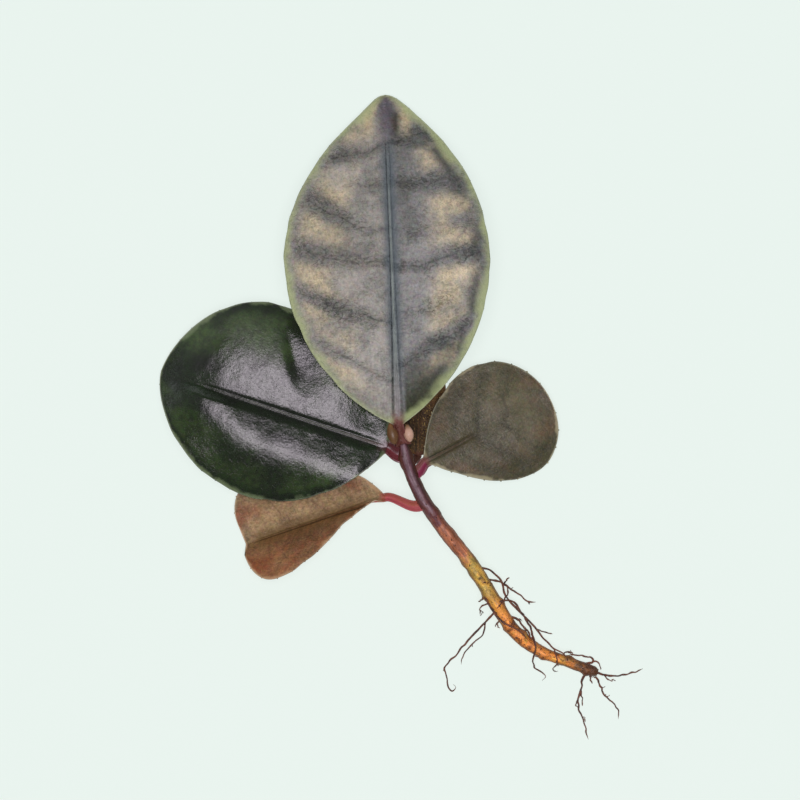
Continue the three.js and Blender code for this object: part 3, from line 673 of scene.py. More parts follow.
class Finish(Nodes):
    """A node material."""

    def __init__(self, name):
        self.material = bpy.data.materials.new(name)
        self.material.use_nodes = True
        self.tree = self.material.node_tree
        self.shader = self.tree.nodes["Principled BSDF"]

    def surface(self, **values):
        for key, value in values.items():
            self.feed(self.shader.inputs[key.replace("_", " ")], value)

    def value(self, name):
        return self.node("ShaderNodeAttribute", attribute_name=name).outputs["Fac"]

    def vector(self, name):
        return self.node("ShaderNodeAttribute", attribute_name=name).outputs["Vector"]

    def range(self, value, low, high, start=0.0, end=1.0):
        return self.node("ShaderNodeMapRange", {
            "Value": value, "From Min": low, "From Max": high, "To Min": start, "To Max": end,
        }, interpolation_type="SMOOTHSTEP").outputs["Result"]

    def band(self, value, centre, width):
        """1 at the centre, falling to 0 at width away."""
        away = self.math("ABSOLUTE", self.math("SUBTRACT", value, centre))
        return self.range(away, 0.0, width, 1.0, 0.0)

    def noise(self, scale, detail=2.0, roughness=0.5, stretch=None, where=None, distortion=0.0):
        where = where or self.node("ShaderNodeTexCoord").outputs["Object"]
        if stretch:
            where = self.first("ShaderNodeMapping", {"Vector": where, "Scale": stretch})
        return self.first("ShaderNodeTexNoise", {
            "Vector": where, "Scale": scale, "Detail": detail, "Roughness": roughness,
            "Distortion": distortion,
        })

    def brighter(self, tone, value):
        return self.first("ShaderNodeHueSaturation", {"Value": value, "Color": tone})

    def mix(self, amount, first, second, blend="MIX"):
        return self.node(
            "ShaderNodeMix", {0: amount, 6: first, 7: second}, data_type="RGBA", blend_type=blend
        ).outputs[2]

    def times(self, *values):
        total = values[0]
        for value in values[1:]:
            total = self.math("MULTIPLY", total, value)
        return total

    def bump(self, height, millimetres, strength=1.0, normal=None):
        sockets = {"Strength": strength, "Distance": millimetres * MM, "Height": height}
        if normal:
            sockets["Normal"] = normal
        return self.first("ShaderNodeBump", sockets)


class Paint:
    """A colour in layers. Each covers what is below it by the product of its amounts."""

    def __init__(self, skin, tone):
        self.skin, self.tone = skin, tone

    def lay(self, tone, *amounts, blend="MIX"):
        self.tone = self.skin.mix(self.skin.times(*amounts), self.tone, tone, blend)

    def lighten(self, value):
        self.tone = self.skin.brighter(self.tone, value)


# Colours of small markings, as light.
DEEP_SHADE = (0.012, 0.016, 0.01)
TIP_BROWN = (0.04, 0.026, 0.012)
BASE_SHADE_GREEN = (0.03, 0.036, 0.01)
CREASE_SHADE = (0.25, 0.27, 0.25)
GOLD_SPECK = (0.5, 0.33, 0.09)
RIM_HIGHLIGHT = (0.85, 0.85, 0.7)
STALK_HIGHLIGHT = (0.62, 0.36, 0.34)
STALK_EDGE_HIGHLIGHT = (0.5, 0.3, 0.3)
YOUNG_STREAK = (0.03, 0.008, 0.01)
YOUNG_HIGHLIGHT = (0.33, 0.23, 0.27)
YOUNG_SHADE = (0.022, 0.005, 0.007)
RED_BARK = (0.16, 0.035, 0.03)
FLESH_STREAK = (0.22, 0.06, 0.02)
OLIVE_BARK = (0.36, 0.3, 0.07)
SCAR_BROWN = (0.16, 0.045, 0.01)
BARK_SIDE_SHADE = (0.1, 0.025, 0.008)
ROOT_DIRT = (0.02, 0.012, 0.01)

# What a leaf's finish has unless its own entry below says otherwise.
# rough, gloss, sheen: roughness, index of refraction and tint of the gloss.
# dull: roughness added where shade is painted on the leaf and where light is painted on it.
# inner: shade inside the left and the right margin. left_tone: patch colour on the left half.
# corner: markings at the tip, and painted shade at the right of the base. gold: specks of gold.
# line, flank: the midrib and its sides. rib_base: its colour near the petiole. rib_scale: above 1
# it is thinner. blush: the side of the petiole, as in veins, that has the underside's colour.
# rim_width: in millimetres. nodule: size of the beads on the margin.
# The rest says how strongly the marking of that name shows.
PLAIN_LOOK = {
    "rough": 0.4, "gloss": 1.45, "sheen": (1.0, 0.95, 0.9), "dull": (0.2, 0.0), "bump": 0.1,
    "patch": 0.7, "vein": 0.6, "cloud": 0.5, "speck": 0.25, "crease": 0.3, "left_tone": 0.0,
    "inner": (0.2, 0.3), "corner": 0.0, "gold": 0.0, "line": 0.4, "flank": 0.4, "rib_scale": 1.0,
    "blush": -1.0, "rim": 0.55, "rim_width": 0.6, "nodule": 0.1,
}
LEAF_LOOKS = {name: PLAIN_LOOK | own for name, own in {
    "leaf_tall": {
        "patch": 0.66, "vein": 0.62, "rim": 0.82, "speck": 0.16, "bump": 0.2, "flank": 0.85,
        "line": 0.85, "rim_width": 1.9, "left_tone": 0.12, "nodule": 0.07, "crease": 0.55,
        "inner": (0.2, 0.9), "corner": 0.95, "cloud": 0.45, "gloss": 1.48, "sheen": (1.0, 0.97, 1.0),
        "rib_base": (0.4, 0.32, 0.35), "dull": (0.35, 0.0),
    },
    "leaf_dark": {
        "rough": 0.24, "patch": 0.6, "vein": 0.35, "speck": 0.3, "bump": 0.06, "flank": 0.7,
        "line": 0.7, "rim_width": 0.8, "nodule": 0.09, "crease": 0.2, "inner": (0.0, 0.0),
        "cloud": 0.85, "gloss": 1.74, "sheen": (1.0, 0.93, 1.0), "rib_base": (0.15, 0.09, 0.09),
        "dull": (0.0, 0.4), "rib_scale": 1.5,
    },
    "leaf_right": {
        "patch": 0.4, "speck": 0.2, "bump": 0.09, "rim_width": 0.5, "nodule": 0.16,
        "inner": (0.3, 0.3), "gloss": 1.48, "sheen": (1.0, 0.95, 0.95),
        "rib_base": (0.16, 0.09, 0.07), "dull": (0.2, 0.2), "blush": 1.0, "gold": 0.15,
        "rib_scale": 2.2,
    },
    "leaf_folded": {
        "rough": 0.5, "patch": 0.9, "vein": 0.5, "rim": 0.6, "flank": 0.6, "line": 0.6,
        "left_tone": 0.8, "nodule": 0.13, "rib_base": (0.12, 0.05, 0.03), "gold": 0.25,
        "rib_scale": 1.8,
    },
    "leaf_under": {
        "rough": 0.55, "rim": 0.4, "speck": 0.5, "bump": 0.12, "line": 0.3, "crease": 0.5,
        "inner": (0.2, 0.2), "cloud": 0.8, "rib_base": (0.1, 0.05, 0.03), "gold": 0.9,
        "rib_scale": 2.0,
    },
}.items()}


def leaf_finish(name, sizes):
    """Leathery leaf: cloudy blade, veins, patches between them, rim, midrib and petiole."""
    look = LEAF_LOOKS[name]
    skin = Finish(name + " skin")
    spot = skin.vector("spot")
    speck = skin.noise(2.6, 3.0, 0.7, where=spot, stretch=(1.0, 0.7, 1.0))
    mottle = skin.noise(0.9, 3.0, 0.6, where=spot)
    cloud = skin.noise(0.16, 3.0, 0.6, where=spot, distortion=0.4)
    share, rib, edge = skin.value("share"), skin.value("rib"), skin.value("edge")
    away = skin.math("ABSOLUTE", rib)
    left, right = skin.range(rib, -0.25, 0.25, 1.0, 0.0), skin.range(rib, -0.25, 0.25)
    ribbed = skin.value("ribbed")
    creases = skin.noise(0.62, 3.0, 0.62, where=spot, stretch=(0.8, 1.5, 1.0), distortion=0.9)
    crease = skin.band(creases, 0.5, 0.045)
    between = skin.range(skin.value("vein"), 0.0, 0.5, 0.35, 1.0)
    crease = skin.times(crease, skin.range(cloud, 0.4, 0.6, 0.4, 1.0), between)

    # clouds and patches, with painted shade where tone is below 0 and at the right of the base
    body = Paint(skin, sizes.blade)
    body.lay(sizes.shade, skin.range(cloud, 0.42, 0.66, 0.0, look["cloud"]))
    left_tone = skin.times(left, look["left_tone"], skin.range(cloud, 0.35, 0.6, 1.0, 0.55))
    body.lay(sizes.patch, left_tone)
    patch = skin.times(skin.value("patch"), skin.range(mottle, 0.3, 0.55, 0.65, 1.0), look["patch"])
    body.lay(sizes.patch, patch)
    tip = skin.times(skin.range(share, 0.78, 0.92), skin.range(away, 0.4, 2.4, 1.0, 0.0))
    body.lay(sizes.tip, tip, 0.75)
    inside = skin.times(skin.band(edge, 2.2, 2.0), skin.range(cloud, 0.36, 0.56, 1.0, 0.2))
    sides = skin.math("ADD", skin.times(left, look["inner"][0]), skin.times(right, look["inner"][1]))
    margin_shade = skin.mix(0.5, sizes.shade, DEEP_SHADE)
    body.lay(margin_shade, inside, sides)
    # painted shade where tone is below 0
    painted_shade = skin.math("MAXIMUM", skin.math("MULTIPLY", skin.value("tone"), -1.0), 0.0)
    body.lay(margin_shade, skin.math("MULTIPLY", painted_shade, 0.85))
    beside_tip = skin.times(skin.band(rib, 1.6, 1.5), skin.band(share, 0.905, 0.07), look["corner"])
    body.lay(TIP_BROWN, beside_tip, 0.9)
    tip_patch = skin.times(skin.band(share, 0.92, 0.08), skin.band(away, 3.4, 1.8), look["corner"])
    body.lay(sizes.patch, tip_patch, 0.7)
    # painted shade in the corner at the right of the base
    corner = skin.times(skin.range(share, 0.04, 0.24, 1.0, 0.0), skin.range(rib, 0.9, 1.8), look["corner"])
    body.lay(BASE_SHADE_GREEN, corner)

    # side veins: painted shade in the soft valley along each vein, with the vein's own fine dark line in it
    vein = skin.value("vein")
    valley_shade = skin.times(vein, skin.range(mottle, 0.35, 0.65, 0.4, 1.0), look["vein"])
    body.lay(sizes.vein, valley_shade)
    fine = skin.range(skin.math("ABSOLUTE", skin.value("from_vein")), 0.08, 0.3, 1.0, 0.0)
    fine = skin.times(fine, skin.range(vein, 0.3, 0.6), skin.range(mottle, 0.3, 0.55, 0.3, 1.0))
    body.lay(DEEP_SHADE, fine, look["vein"], 0.45)

    # fine grain of the skin, with painted shade in its creases and painted highlight where tone is above 0
    # painted shade darkening the creases
    darker = skin.mix(1.0, body.tone, CREASE_SHADE, "MULTIPLY")
    body.lay(darker, crease, look["crease"])
    grain = skin.math("ADD", skin.range(speck, 0.3, 0.7, -1.0, 1.0), skin.range(mottle, 0.3, 0.7, -0.8, 0.8))
    # painted highlight where tone is above 0, brightening the grain
    painted_light = skin.math("MAXIMUM", skin.value("tone"), 0.0)
    grainy = skin.math("MULTIPLY_ADD", grain, look["speck"], 1.0)
    body.lighten(skin.math("ADD", grainy, skin.math("MULTIPLY", painted_light, 0.6)))
    tints = skin.node("ShaderNodeTexNoise", {"Vector": spot, "Scale": 1.4, "Detail": 3.0}).outputs[1]
    body.lay(tints, 0.3, blend="SOFT_LIGHT")

    glint = skin.noise(5.0, 1.0, 0.5, where=spot)
    body.lay(GOLD_SPECK, skin.range(glint, 0.62, 0.7, 0.0, look["gold"]))

    # midrib with painted shade in its ditch, rim with a painted highlight on its outer edge, and petiole
    # with painted highlight streaks
    flank = skin.times(skin.range(away, 0.3, 2.2, 1.0, 0.0), skin.range(share, 0.0, 0.25), ribbed)
    body.lay(sizes.flank, flank, look["flank"])
    slim = skin.times(away, skin.range(share, 0.0, 0.6, 0.5, 1.3), look["rib_scale"])
    one_side = skin.range(rib, -0.2, 0.2, 1.0, 0.55)
    broken = skin.range(mottle, 0.3, 0.6, 0.5, 1.0)
    # painted shade along the midrib's ditch, darker on its left side
    ditch = skin.times(skin.band(slim, 0.42, 0.22), ribbed, broken, one_side)
    body.lay(DEEP_SHADE, ditch, 0.85)
    rib_tone = skin.mix(skin.range(share, 0.02, 0.25, 0.7, 0.0), sizes.rib, look["rib_base"])
    streak = skin.noise(1.6, 3.0, 0.6, where=spot, stretch=(1.0, 0.22, 1.0))
    fading = skin.range(share, 0.5, 0.85, 1.0, 0.2)
    strip = skin.times(fading, skin.range(streak, 0.4, 0.6, 1.0, 0.6), look["line"])
    body.lay(rib_tone, skin.range(slim, 0.14, 0.3, 1.0, 0.0), ribbed, strip)
    worn = skin.math("ADD", edge, skin.range(cloud, 0.3, 0.7, -0.5, 0.7))
    worn = skin.range(worn, 0.0, look["rim_width"], 1.0, 0.0)
    body.lay(sizes.rim, worn, look["rim"])
    # painted highlight along the rim's outer edge
    rim_highlight = skin.mix(0.5, sizes.rim, RIM_HIGHLIGHT)
    body.lay(rim_highlight, skin.range(edge, 0.0, 0.3, look["rim"], 0.0))
    foot = skin.math("ADD", share, skin.range(mottle, 0.2, 0.8, -0.015, 0.015))
    reddened = skin.times(skin.range(foot, 0.0, 0.05, 1.0, 0.0), skin.range(away, 0.5, 1.6, 1.0, 0.0))
    body.lay(sizes.stalk, reddened)
    stalk = Paint(skin, sizes.stalk)
    stalk.lay(sizes.under, skin.range(streak, 0.42, 0.62, 0.0, 0.4))
    # painted highlight streaks on the petiole
    stalk.lay(STALK_HIGHLIGHT, skin.range(streak, 0.3, 0.42, 0.35, 0.0))
    blush = skin.range(skin.math("MULTIPLY", rib, look["blush"]), -0.1, 0.2)
    stalk.lay(sizes.under, skin.math("MULTIPLY", blush, 0.8))
    # painted highlight along the petiole's pale edge
    stalk.lay(STALK_EDGE_HIGHLIGHT, skin.range(edge, 0.08, 0.25, 0.6, 0.0))
    body.lay(stalk.tone, skin.range(share, -0.02, 0.01, 1.0, 0.0))
    below = Paint(skin, sizes.under)
    below.lay(sizes.stalk, skin.range(streak, 0.35, 0.65, 0.0, 0.6))
    below.lay(sizes.shade, skin.range(share, 0.05, 0.2, 0.0, 0.6))
    body.lay(below.tone, skin.value("under"))

    relief = skin.bump(skin.noise(1.3, 4.0, 0.65, where=spot), look["bump"] * 2, 0.7)
    relief = skin.bump(crease, -look["bump"] * 1.6, look["crease"], relief)
    relief = skin.bump(speck, look["bump"], 0.9, relief)
    skin.surface(Base_Color=body.tone, Normal=relief, IOR=look["gloss"], Specular_Tint=look["sheen"])
    polish = skin.range(speck, 0.3, 0.7, look["rough"] * 1.3, look["rough"] * 0.8)
    dim = skin.math("MAXIMUM", skin.math("MAXIMUM", corner, painted_shade), skin.math("MULTIPLY", valley_shade, 0.6))
    dulled = skin.math("MULTIPLY_ADD", dim, look["dull"][0], skin.math("MULTIPLY", painted_light, look["dull"][1]))
    skin.surface(Roughness=skin.math("ADD", polish, dulled))
    return skin.material


def bark_finish(sizes):
    """Young purple wood at the crown, golden then rusty and cracked below."""
    skin = Finish("bark")
    share, turn = skin.value("share"), skin.vector("turn")
    along = skin.first("ShaderNodeCombineXYZ", {2: skin.math("MULTIPLY", share, 14.0)})
    where = skin.first("ShaderNodeVectorMath", {0: turn, 1: along}, operation="ADD")
    streak = skin.noise(2.2, 4.0, 0.65, where=where)
    blotch = skin.noise(450.0, 3.0, 0.6)
    fine = skin.noise(2600.0, 3.0, 0.6)
    wander = skin.math("ADD", share, skin.range(blotch, 0.3, 0.7, -0.03, 0.03))
    olive = Paint(skin, sizes.gold)
    olive.lay(OLIVE_BARK, skin.range(blotch, 0.4, 0.6, 0.0, 0.7))
    long_streak = skin.noise(2.6, 3.0, 0.6, where=where, stretch=(1.0, 1.0, 0.3))
    side = skin.value("side")

    # young wood, with painted shade on the right and a painted highlight left of the middle
    young = Paint(skin, sizes.young)
    young.lay(YOUNG_STREAK, skin.range(long_streak, 0.46, 0.6, 0.0, 0.5))
    # painted highlight left of the middle of the young wood
    young_highlight = skin.times(skin.band(side, -0.15, 0.6), skin.range(long_streak, 0.35, 0.6, 0.95, 0.4))
    young.lay(YOUNG_HIGHLIGHT, young_highlight, skin.range(share, 0.15, 0.3, 1.0, 0.3))
    # painted shade on the right side of the young wood
    young_side_shade = skin.times(skin.range(side, 0.1, 0.75), skin.range(share, 0.16, 0.3, 0.9, 0.4))
    young.lay(YOUNG_SHADE, young_side_shade)
    reddening = skin.times(skin.range(share, 0.14, 0.24), skin.range(streak, 0.4, 0.6))
    young.lay(RED_BARK, reddening)
    flesh = Paint(skin, sizes.flesh)
    flesh.lay(FLESH_STREAK, skin.range(long_streak, 0.45, 0.62, 0.0, 0.7))

    # from the crown to the lower end
    wood = Paint(skin, young.tone)
    wood.lay(flesh.tone, skin.range(wander, 0.24, 0.32))
    wood.lay(olive.tone, skin.range(wander, 0.38, 0.46))
    wood.lay(sizes.rust, skin.range(wander, 0.54, 0.66))
    golden = skin.times(skin.range(share, 0.56, 0.7), skin.range(blotch, 0.5, 0.6, 0.0, 0.8))
    wood.lay(sizes.gold, golden)
    scar = skin.times(skin.range(share, 0.4, 0.56), skin.range(blotch, 0.34, 0.46, 0.9, 0.0))
    wood.lay(SCAR_BROWN, scar)
    wood.lay(sizes.end, skin.range(wander, 0.86, 0.98))

    # cracks and lighter ridges, painted shade on the sides and a painted highlight along the top
    wood.lay(sizes.crack, skin.range(streak, 0.52, 0.68, 0.0, 0.6))
    wood.lay(skin.brighter(wood.tone, 1.5), skin.range(streak, 0.3, 0.46, 0.8, 0.0))
    # painted shade on both sides of the stem
    side_shade = skin.range(skin.math("ABSOLUTE", side), 0.45, 0.95, 0.0, 0.7)
    wood.lay(BARK_SIDE_SHADE, side_shade)
    # painted highlight along the top of the stem below the young wood
    crest = skin.times(skin.band(side, -0.1, 0.5), skin.range(streak, 0.35, 0.6, 0.8, 0.1))
    crest = skin.times(crest, skin.range(share, 0.3, 0.45))
    wood.lay(skin.brighter(wood.tone, 1.6), crest)
    pits = skin.times(skin.range(fine, 0.56, 0.66), skin.range(share, 0.3, 0.7, 0.3, 0.8))
    wood.lay(sizes.crack, pits)
    relief = skin.bump(streak, 0.25, 0.7)
    relief = skin.bump(fine, 0.06, 0.6, relief)
    skin.surface(Base_Color=wood.tone, Normal=relief, IOR=1.48)
    skin.surface(Roughness=skin.range(fine, 0.3, 0.7, 0.55, 0.36))
    return skin.material


def root_finish(sizes):
    """Brown root skin, redder towards the thin ends."""
    skin = Finish("root skin")
    share = skin.value("share")
    blotch = skin.noise(900.0, 3.0, 0.6)
    fine = skin.noise(3500.0, 3.0, 0.6)
    wood = Paint(skin, sizes.skin)
    wood.lay(sizes.young, skin.range(blotch, 0.36, 0.62))
    wood.lay(sizes.young, skin.range(share, 0.5, 1.0, 0.0, 0.5))
    wood.lay(ROOT_DIRT, skin.range(fine, 0.3, 0.5, 0.6, 0.0))
    skin.surface(Base_Color=wood.tone, Normal=skin.bump(fine, 0.05, 0.7))
    skin.surface(Roughness=skin.range(fine, 0.3, 0.7, 0.7, 0.45))
    return skin.material


def speck_finish(name, first, second):
    """Corky specks and nodules."""
    skin = Finish(name)
    blotch = skin.noise(1500.0, 2.0)
    skin.surface(Base_Color=skin.mix(skin.range(blotch, 0.35, 0.65), first, second))
    skin.surface(Normal=skin.bump(skin.noise(6000.0, 2.0), 0.03, 0.5), Roughness=0.5)
    return skin.material


def bud_finish(name, scale, seam):
    """Bud scales, darker along the seam and at the point."""
    skin = Finish(name)
    blotch, fine = skin.noise(700.0, 3.0), skin.noise(3000.0, 3.0)
    body = Paint(skin, scale)
    body.lay(seam, skin.range(blotch, 0.45, 0.7, 0.0, 0.5))
    body.lay(seam, skin.value("seam"), 0.6)
    body.lay(seam, skin.range(skin.value("share"), 0.6, 0.95, 0.0, 0.85))
    skin.surface(Base_Color=body.tone, Normal=skin.bump(fine, 0.05, 0.5))
    skin.surface(Roughness=skin.range(fine, 0.3, 0.7, 0.5, 0.35))
    return skin.material


def paper_finish(sizes):
    """A pale board that glows faintly, so that nothing on it throws a hard shadow."""
    skin = Finish("pale board")
    tone = skin.mix(skin.range(skin.noise(8.0, 2.0), 0.3, 0.7, 0.0, 0.02), sizes.paper, (0.9, 0.9, 0.9))
    dull = skin.mix(0.78, tone, (0.0, 0.0, 0.0))
    skin.surface(Base_Color=dull, Roughness=0.9, Emission_Color=tone, Emission_Strength=0.83)
    skin.surface(Specular_IOR_Level=0.0)
    return skin.material


# ---- Leaves ----

BLADE_ROWS = 230
HALF_COLUMNS = 60
UNDER_COLUMNS = 24
PETIOLE_ROWS = 22
RIM_POINTS = 3


def half_width(share, half, width):
    """A parabola on each side of the widest place, drawn full or slender by its power."""
    before = share < half["widest"]
    away = np.where(before, 1 - share / half["widest"], (share - half["widest"]) / (1 - half["widest"]))
    power = np.where(before, half["base"], half["tip"])
    return width * np.maximum(0, 1 - away**2) ** power


def crowded(count):
    """From 0 to 1, closer together near both ends."""
    v = np.linspace(0, 1, count)
    return v - 0.8 * np.sin(2 * np.pi * v) / (2 * np.pi)


def side_veins(name, x, y, across, blade):
    """How near each place is to a side vein, from 0 to 1, narrowly and in its wider valley, then how
    far it is from the strong ones, and from the nearest of all with a sign, in millimetres."""
    wander = noise(x, y, 5.0, 3) * 0.9 + noise(x, y, 1.6, 5) * 0.3
    near, valley, signed = np.zeros_like(x), np.zeros_like(x), np.full_like(x, 9.0)
    gap = np.full_like(x, 9.0)
    for side, start, end, strength in LEAVES[name]["veins"]:
        reach = across / 0.85
        route = blade * (start + (end - start) * reach**1.4)
        apart = y + wander - route
        away = np.abs(apart)
        here = (x * side > 0) * strength
        fade = 1 - step(across, 0.8, 0.97)
        near = np.maximum(near, here * fade * np.exp(-((away / (0.7 + 1.5 * across)) ** 2)))
        valley = np.maximum(valley, here * fade * np.exp(-((away / (0.9 + 1.2 * across)) ** 2)))
        closer = (x * side > 0) & (away < np.abs(signed))
        signed = np.where(closer, apart, signed)
        gap = np.minimum(gap, np.where((x * side > 0) & (strength > 0.45), away, 9.0))
    return np.minimum(near, 1), valley, gap, signed


def leaf_mesh(name, sizes, stem, material):
    """One leaf with its petiole, as a closed shell. Returns it and its two margin lines."""
    leaf = LEAVES[name]
    blade, thick = sizes.blade_length / MM, sizes.thickness / MM
    petiole_length, petiole_heading, petiole_half = leaf["petiole"]
    if leaf["around"] is None:
        out = -stem.tangent(0)
        foot = stem.at(0) - out * 0.3
    else:
        out = stem.out(leaf["share"], leaf["around"])
        foot = stem.skin(leaf["share"], leaf["around"], 0.3)
    gap_foot = foot + out * 0.6
    ahead = heading(leaf["heading"])
    right = np.array([ahead[1], -ahead[0]])
    base = np.array([*(gap_foot[:2] + heading(petiole_heading) * petiole_length), leaf["heights"][0]])

    # rows: along the petiole, then along the blade
    t = np.linspace(0, 1, PETIOLE_ROWS, endpoint=False)
    bend = petiole_length * PETIOLE_BEND
    ends = [foot, foot + out * (bend + 0.3), base - np.array([*ahead, 0]) * bend, base]
    weights = [(1 - t) ** 3, 3 * t * (1 - t) ** 2, 3 * t**2 * (1 - t), t**3]
    stalk = sum(w[:, None] * p for w, p in zip(weights, ends))
    way = np.gradient(stalk, axis=0)[:, :2]
    way /= np.maximum(np.linalg.norm(way, axis=1), 1e-6)[:, None]
    even = np.linspace(0, 1, BLADE_ROWS)
    share = 0.45 * even + 0.55 * (1 - np.cos(np.pi * even)) / 2
    levels = leaf["heights"]
    heights = spline(np.column_stack([np.linspace(0, 1, len(levels)) * blade, levels]), 400)
    midrib = np.column_stack([
        base[0] + ahead[0] * blade * share, base[1] + ahead[1] * blade * share,
        np.interp(share * blade, heights[:, 0], heights[:, 1]),
    ])
    centre = np.vstack([stalk, midrib])
    side = np.vstack([np.column_stack([way[:, 1], -way[:, 0]]), np.tile(right, (BLADE_ROWS, 1))])
    rows = np.concatenate([t - 1, share])[:, None]
    on_blade = np.clip(rows, 0, 1)
    y = np.concatenate([(t - 1) * petiole_length, share * blade])[:, None]
    stalky = 1 - step(rows, 0.0, 0.09)

    # half widths of every row, with a round tip where the leaf has one
    halves = {}
    for key, sign in (("left", -1), ("right", 1)):
        wide = half_width(on_blade, leaf[key], getattr(sizes, key + "_width") / MM)
        if name in BLUNT_TIPS:
            round_tip = np.sqrt(np.maximum(0, 2 * BLUNT_TIPS[name] * (1 - on_blade) * blade))
            wide = (wide**4 + (round_tip * step(on_blade, 0.86, 1.0)) ** 4) ** 0.25
        flare = 1 + PETIOLE_FLARE * np.clip(-rows, 0, 1) ** 2
        stalk_half = petiole_half * np.maximum(0.3, 1 - on_blade) * flare
        wide = np.sqrt(wide**2 + (stalk_half * np.maximum(stalky, 0.15)) ** 2)
        wide = np.where(on_blade >= 1, wide * 0.2, wide)
        halves[sign] = wide + noise(y, y * 0 + sign * 9, 2.2, 11) * 0.12 * step(on_blade, 0.02, 0.1)
    radius = thick / 2

    def surface(columns):
        """Place, height over the centre line and markings, for columns from -1 left to 1 right."""
        left_side = columns < 0
        half = np.where(left_side, halves[-1], halves[1])
        across = np.abs(columns) + 0 * y
        x = columns * (half - radius)
        along, outwards, lift = y + 0 * x, np.abs(x), np.zeros_like(x)
        for sign, key, pillow in ((-1, "left", leaf["pillow"][:2]), (1, "right", leaf["pillow"][2:])):
            width = getattr(sizes, key + "_width") / MM
            part = leaf[key]
            height, crest = pillow
            swell = np.sin(np.pi * np.minimum(across, 1) ** (math.log(0.5) / math.log(crest)))
            ends = step(on_blade, 0.0, 0.3) * (1 - step(on_blade, 0.75, 1))
            fullness = np.minimum(1, half / width) * ends
            raised = (
                part["slope"] * outwards
                - part["droop"] * (outwards / width) ** leaf["droop_power"]
                + height * swell * fullness
            )
            lift = np.where(left_side == (sign < 0), raised, lift)
        lift *= np.minimum(1, on_blade * 6)
        near, valley, gap, signed = side_veins(name, x, along, across, blade)
        worked = step(on_blade, 0.0, 0.12) * (1 - step(on_blade, 0.9, 1.0))
        inner = 1 - step(across, 0.86, 1.0)
        lumps = noise(x, along, 3.4, 21, 2) + noise(x, along, 1.1, 31, 2) * 0.3
        lift += worked * inner * (lumps * leaf["bulge"] - leaf["vein_depth"] * valley)
        for dent_x, dent_y, wide_x, beyond, before, tilt, depth in leaf.get("dents", ()):
            from_y = y - dent_y - tilt * (x - dent_x)
            wide_y = np.where(from_y > 0, beyond, before)
            lift -= depth * np.exp(-(((x - dent_x) / wide_x) ** 2) - (from_y / wide_y) ** 2)
        if "ridge" in leaf:
            sign, crest, tip_crest, width, height = leaf["ridge"]
            line = crest + (tip_crest - crest) * step(on_blade, 0.5, 0.84)
            swell = np.exp(-(((x * sign - line) / width) ** 2)) * step(x * sign, 0.0, 2.0)
            lift += height * swell * step(on_blade, 0.0, 0.1) * (1 - step(on_blade, 0.78, 0.98))
        ribbed = (1 - step(rows, leaf["rib_end"] - 0.12, leaf["rib_end"])) * np.ones_like(x)
        wide = leaf["groove_width"] * (1 - 0.55 * on_blade)
        ridge = leaf["line"] * np.exp(-((x / (0.32 * wide)) ** 2))
        ditch = leaf["groove"] * np.exp(-((x / wide) ** 2))
        lift += (ridge - ditch) * ribbed * (1 - stalky) * (1 - 0.5 * on_blade)
        return x, lift, across, near, gap, ribbed, half, signed

    half_grid = crowded(HALF_COLUMNS)
    top = np.concatenate([-half_grid[::-1], half_grid[1:]])[None, :]
    under_half = crowded(UNDER_COLUMNS)
    low = np.concatenate([under_half[::-1], -under_half[1:]])[None, :]
    x_top, lift_top, across, near, gap, ribbed, half, signed = surface(top)
    x_low, lift_low, *_ = surface(low)

    stalk_depth = PETIOLE_DEPTH / 2
    half_thick = radius * (1 - stalky) + 0.32 * stalky
    channel = 0.55 * stalky * np.abs(top) ** 1.6
    top_z = lift_top + half_thick * (1 - 0.35 * stalky) - 0.25 * stalky + channel
    keel = np.exp(-((x_low / 0.7) ** 2)) * 0.5 * (1 - on_blade) * (1 - stalky)
    low_z = lift_low - half_thick - keel - stalk_depth * stalky * np.sqrt(np.maximum(0, 1 - low**2))
    lean = leaf["lean"] * (1 - step(rows, 0.0, 0.14)) * step(rows, -1.0, -0.75)
    x_low = x_low + lean * (1 - low**2) * 1.4

    def rim(sign):
        """The rounded margin of one side, from the top surface down to the underside."""
        angle = np.radians(np.linspace(90, -90, RIM_POINTS + 2)[1:-1])[None, :]
        last, first = ([-1], [0]) if sign > 0 else ([0], [-1])
        upper, lower = top_z[:, last], low_z[:, first]
        x = sign * (half[:, last] - radius + radius * np.cos(angle))
        return x, (upper + lower) / 2 + (upper - lower) / 2 * np.sin(angle)

    x_right, z_right = rim(1)
    x_left, z_left = rim(-1)
    x_all = np.hstack([x_top, x_right, x_low, x_left[:, ::-1]])
    z_all = np.hstack([top_z, z_right, low_z, z_left[:, ::-1]])
    past = np.zeros_like(x_all)
    if name in LOBES:
        (left_reach, left_span), (right_reach, right_span) = LOBES[name]
        past = left_reach * step(-x_all, 0.0, left_span) + right_reach * step(x_all, 0.0, right_span)
        past = (past - max(left_reach, right_reach) / 2) * on_blade**8
    points = np.empty((*x_all.shape, 3))
    points[..., :2] = centre[:, None, :2] + side[:, None, :] * x_all[..., None]
    points[..., :2] += past[..., None] * ahead
    points[..., 2] = centre[:, None, 2] + z_all

    # markings
    def whole(top_values, fill=0.0):
        """Markings of the top, carried round the rim, with a plain value below."""
        right_rim = np.repeat(top_values[:, -1:], RIM_POINTS, 1)
        left_rim = np.repeat(top_values[:, :1], RIM_POINTS, 1)
        below = np.full(x_low.shape, fill)
        return np.hstack([top_values, right_rim, below, left_rim])

